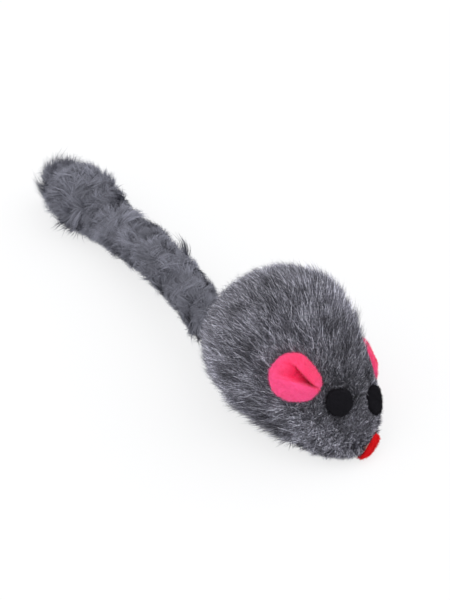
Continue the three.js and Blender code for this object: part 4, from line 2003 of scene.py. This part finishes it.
class Mouse:
    """The toy: builds every visible piece and dresses the pieces that the frame brings."""

    HIDDEN = {
        "plastic": ("core_lower_shell", "core_upper_shell"),
        "steel": ("rattle_ball_1", "rattle_ball_2", "rattle_ball_3"),
        "thread": ("belly_seam_thread",),
        "backing": ("tail_tab",),
        "glue": ("ear_glue_right", "ear_glue_left", "eye_glue_right", "eye_glue_left", "nose_glue"),
    }
    TAIL_BODIES = ("body", "tail_root", "tail_middle", "tail_outer", "tail_tuft")

    def __init__(self, frame: dict[str, Any], finishes: Finishes) -> None:
        """Takes the toy's place from the frame.

        Args:
            frame: What the frame brings.
            finishes: The finishes.
        """
        self.frame = frame
        self.finishes = finishes
        self.form = EggForm()
        low, high = (np.array(corner) / METRES_PER_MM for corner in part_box("fur_cover"))
        self.bench = Bench(np.array([low[0] + self.form.rear_length, (low[1] + high[1]) / 2, 0.0]))
        self.head = Head(self.form)
        self.tail = TailForm(self.form)
        self.felts = self._cut_felts()

    def _cut_felts(self) -> list[FeltPiece]:
        """Cuts the felt pieces of the face.

        Returns:
            The pieces, each on its seat.
        """
        head = self.head
        ear, eye = head.ear_diameter / 2, head.eye_diameter / 2
        eye_stretch, eye_narrowing = 1.04, 0.88
        pinched = {
            "shape": FeltShape.PINCHED,
            "thickness": 1.0,
            "crown": 0.0,
            "edge": 0.4,
            "dents": (
                (246.0, 42.0, 0.2),
                (119.0, 42.0, 0.12),
                (299.0, 35.0, 0.06),
                (203.0, 25.0, -0.05),
                (23.0, 30.0, -0.03),
            ),
            "rings": 64,
            "sides": 220,
            "fibre_count": 5000,
        }
        cut = {"thickness": 1.2, "fibre_count": 2400}
        ragged = {"outline_wobble": 0.03, "lumps": 0.14}
        top_cut = ((-30.0, 34.0, 0.2),)
        notch = ((92.0, 16.0, 0.2), (-92.0, 12.0, 0.12), (-50.0, 22.0, 0.1), (-12.0, 16.0, -0.05))
        return [
            FeltPiece("ear_right", head.ear(False), ear, ear, outline_seed=3, **pinched),
            FeltPiece(
                "ear_left",
                head.ear(True),
                ear,
                ear,
                outline_seed=5,
                mirrored=True,
                rise=1.5,
                gap=-0.3,
                bed=1.5,
                bed_reach=0.9,
                bed_slope=0.35,
                pinch=Pinch(lobe_rise=0.2, soft_rise=0.1, overhang=0.2),
                **pinched,
            ),
            FeltPiece(
                "eye_right",
                head.eye(False),
                eye * eye_stretch,
                eye * eye_stretch,
                outline_seed=11,
                dents=top_cut,
                **cut,
            ),
            FeltPiece(
                "eye_left",
                head.eye(True),
                eye * eye_stretch,
                eye * eye_narrowing,
                gap=-0.3,
                outline_seed=14,
                dents=notch,
                **cut,
                **ragged,
            ),
            FeltPiece(
                "nose",
                head.nose(),
                head.nose_length / 2,
                head.nose_width / 2,
                thickness=1.0,
                crown=0.2,
                power=2.6,
                drape=0.4,
                gap=-0.4,
                bed=0.3,
                outline_seed=21,
            ),
        ]

    def build(self) -> None:
        """Builds the toy."""
        self._dress_hidden()
        self._build_felts()
        self._build_body()
        self._build_tail()

    def _dress_hidden(self) -> None:
        """Gives the inner pieces of the frame their finishes."""
        for finish, names in self.HIDDEN.items():
            for name in names:
                slots = self.frame["nodes"][name].data.materials
                slots.clear()
                slots.append(getattr(self.finishes, finish))
                log.info("%s: dressed as %s", name, finish)

    def _build_felts(self) -> None:
        """Builds the felt pieces and their loose fibres."""
        for felt in self.felts:
            kind = felt.name.split("_")[0]
            finish = getattr(self.finishes, f"{kind}_felt")
            body = felt.name if kind == "ear" else "body"
            mesh = felt.surface(self.head)
            piece = self.bench.make(f"{felt.name}_felt", mesh, finish)
            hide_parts(felt.name)
            fibres = self.bench.make(f"{felt.name}_fibres", felt.fibres(mesh), finish)
            for made in (piece, fibres):
                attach(made, body)

    def _build_body(self) -> None:
        """Builds the body's backing and its pile, split into regions."""
        coat = BodyCoat(form=self.form)
        backing = coat.skin(coat.low, coat.high)
        skin = self.bench.make("body_backing", backing, self.finishes.undercoat)
        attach(skin, "body")
        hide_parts("fur_cover")
        strands, pitch = coat.strands(seed=7)
        clear = coat.clear_of_seam(strands)
        for felt in self.felts:
            felt.press(strands, self.head)
        strands.rest_on_floor()
        station = np.sin(pitch)
        front = station > coat.head_share
        rear = station < -coat.rump_from_share
        left = strands.lines[:, 0, 1] > 0
        regions = {
            "fur_head_left": front & left,
            "fur_head_right": front & ~left,
            "fur_left_side": ~front & ~rear & left,
            "fur_right_side": ~front & ~rear & ~left,
            "fur_rump_left": rear & left,
            "fur_rump_right": rear & ~left,
        }
        for name, region in regions.items():
            kept = strands.kept(region & clear)
            piece = self.bench.make(name, kept.mesh(), self.finishes.body_fur)
            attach(piece, "body")

    def _build_tail(self) -> None:
        """Builds the tail's backing and coat in pieces, split midway between the bends."""
        coat = TailCoat(form=self.tail)
        strands, share = coat.strands(seed=31)
        strands.rest_on_floor()
        cuts = coat.cuts()
        for number, bend in enumerate(self.tail.bend_shares):
            near, far = self.TAIL_BODIES[number : number + 2]
            low, high = cuts[number : number + 2]
            inside = (share >= low) & (share < high)
            backing = coat.skin(low, high)
            skin = self.bench.make(f"{far}_backing", backing, self.finishes.backing)
            pieces = [skin]
            nearer = share < np.median(share[inside])
            for part, half in (("near", nearer), ("far", ~nearer)):
                mesh = strands.kept(inside & half).mesh()
                pieces.append(self.bench.make(f"{far}_fur_{part}", mesh, self.finishes.tail_fur))
            middle, along = self.tail.middle(bend), self.tail.direction(bend)
            start = self.bench.metres(middle - along * coat.blend_reach)
            end = self.bench.metres(middle + along * coat.blend_reach)
            for piece in pieces:
                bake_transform(piece)
            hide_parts(far)


@dataclass
class Studio:
    """Plain white tabletop under soft light, seen as the photograph sees it."""

    bench: Bench
    elevation: float = 42.0
    heading: float = 50.24
    distance: float = 444.29
    offset_right: float = 14.8881
    offset_up: float = 23.5103
    focal_pixels: float = 1765.9
    frame_height_pixels: float = 600.0
    sensor: float = 36.0
    floor_half: float = 3000.0
    ambient: float = 0.9
    clip: tuple[float, float] = (0.01, 20.0)
    key_towards: tuple[float, ...] = (0.9, 0.3, 1.2)
    key_strength: float = 1.0
    key_spread: float = 70.0
    fill_towards: tuple[float, ...] = (-0.8, -0.3, 1.0)
    fill_strength: float = 0.9
    fill_spread: float = 80.0

    def directions(self) -> tuple[Array, Array, Array]:
        """Directions of the view.

        Returns:
            Right, up and forward.
        """
        rise, turn = math.radians(self.elevation), math.radians(self.heading)
        level = np.array([-math.sin(turn), math.cos(turn), 0.0])
        right = np.array([math.cos(turn), math.sin(turn), 0.0])
        forward = level * math.cos(rise) - UP * math.sin(rise)
        return right, level * math.sin(rise) + UP * math.cos(rise), forward

    def camera(self) -> None:
        """Sets the camera."""
        right, up, forward = self.directions()
        place = -self.distance * forward - self.offset_right * right + self.offset_up * up
        data = bpy.data.cameras.new("camera")
        data.sensor_width = self.sensor
        data.lens = self.focal_pixels / self.frame_height_pixels * self.sensor
        data.clip_start, data.clip_end = self.clip
        camera = bpy.data.objects.new("camera", data)
        turn = Matrix([right, up, -forward]).transposed().to_4x4()
        camera.matrix_world = Matrix.Translation(Vector(self.bench.metres(place))) @ turn
        bpy.context.scene.collection.objects.link(camera)
        bpy.context.scene.camera = camera

    def floor(self, finishes: Finishes) -> None:
        """Lays the tabletop.

        Args:
            finishes: The finishes.
        """
        reach = self.floor_half
        corners = [[-reach, -reach, 0], [reach, -reach, 0], [reach, reach, 0], [-reach, reach, 0]]
        mesh = Mesh(np.array(corners, float), np.array([[0, 1, 2, 3]]))
        self.bench.make("studio_floor", mesh, finishes.floor)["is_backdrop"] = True

    def lamp(self, name: str, towards: tuple[float, ...], strength: float, spread: float) -> None:
        """Sets a soft lamp so far away that it lights the whole table alike.

        Args:
            name: Its name.
            towards: Direction from the toy to the lamp: right and back in the view, and up.
            strength: Its strength.
            spread: How wide it looks from the toy, in degrees.
        """
        data = bpy.data.lights.new(name, "SUN")
        data.energy = strength
        data.angle = math.radians(spread)
        made = bpy.data.objects.new(name, data)
        right, _, forward = self.directions()
        back = unit(forward * np.array([1.0, 1.0, 0.0]))
        place = unit(np.array(towards) @ np.array([right, back, UP]))
        made.rotation_euler = Vector(place).to_track_quat("Z", "Y").to_euler()
        bpy.context.scene.collection.objects.link(made)

    def light(self) -> None:
        """Sets the world and the lamps: a soft key from the upper right of the view."""
        tree = WorldTree("studio")
        strength = self.ambient + tree.seen(1 - self.ambient)
        sockets = {"Color": (1.0, 1.0, 1.0, 1.0), "Strength": strength}
        background = tree.node("ShaderNodeBackground", sockets=sockets)
        bpy.context.scene.world = tree.finish(background)
        self.lamp("key", self.key_towards, self.key_strength, self.key_spread)
        self.lamp("fill", self.fill_towards, self.fill_strength, self.fill_spread)


def write_sizes(before: tuple[Vector, Vector], after: tuple[Vector, Vector]) -> None:
    """Gathers the box of the frame and the box of the dressed toy, and keeps neither.

    Args:
        before: Lowest and highest corner of the frame.
        after: Lowest and highest corner of the dressed toy.
    """
    boxes = {"cad": before, "visual": after}
    boxes = {name: [list(corner) for corner in box] for name, box in boxes.items()}


def main() -> None:
    """Loads the frame, dresses the toy and sets the studio."""
    logging.basicConfig(level=logging.INFO, format="%(name)s %(message)s")
    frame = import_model()
    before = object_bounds()
    bpy.context.scene.view_settings.view_transform = "Standard"
    finishes = Finishes()
    mouse = Mouse(frame, finishes)
    studio = Studio(mouse.bench)
    studio.camera()
    studio.floor(finishes)
    studio.light()
    mouse.build()
    write_sizes(before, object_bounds())


if __name__ == "__main__":
    main()
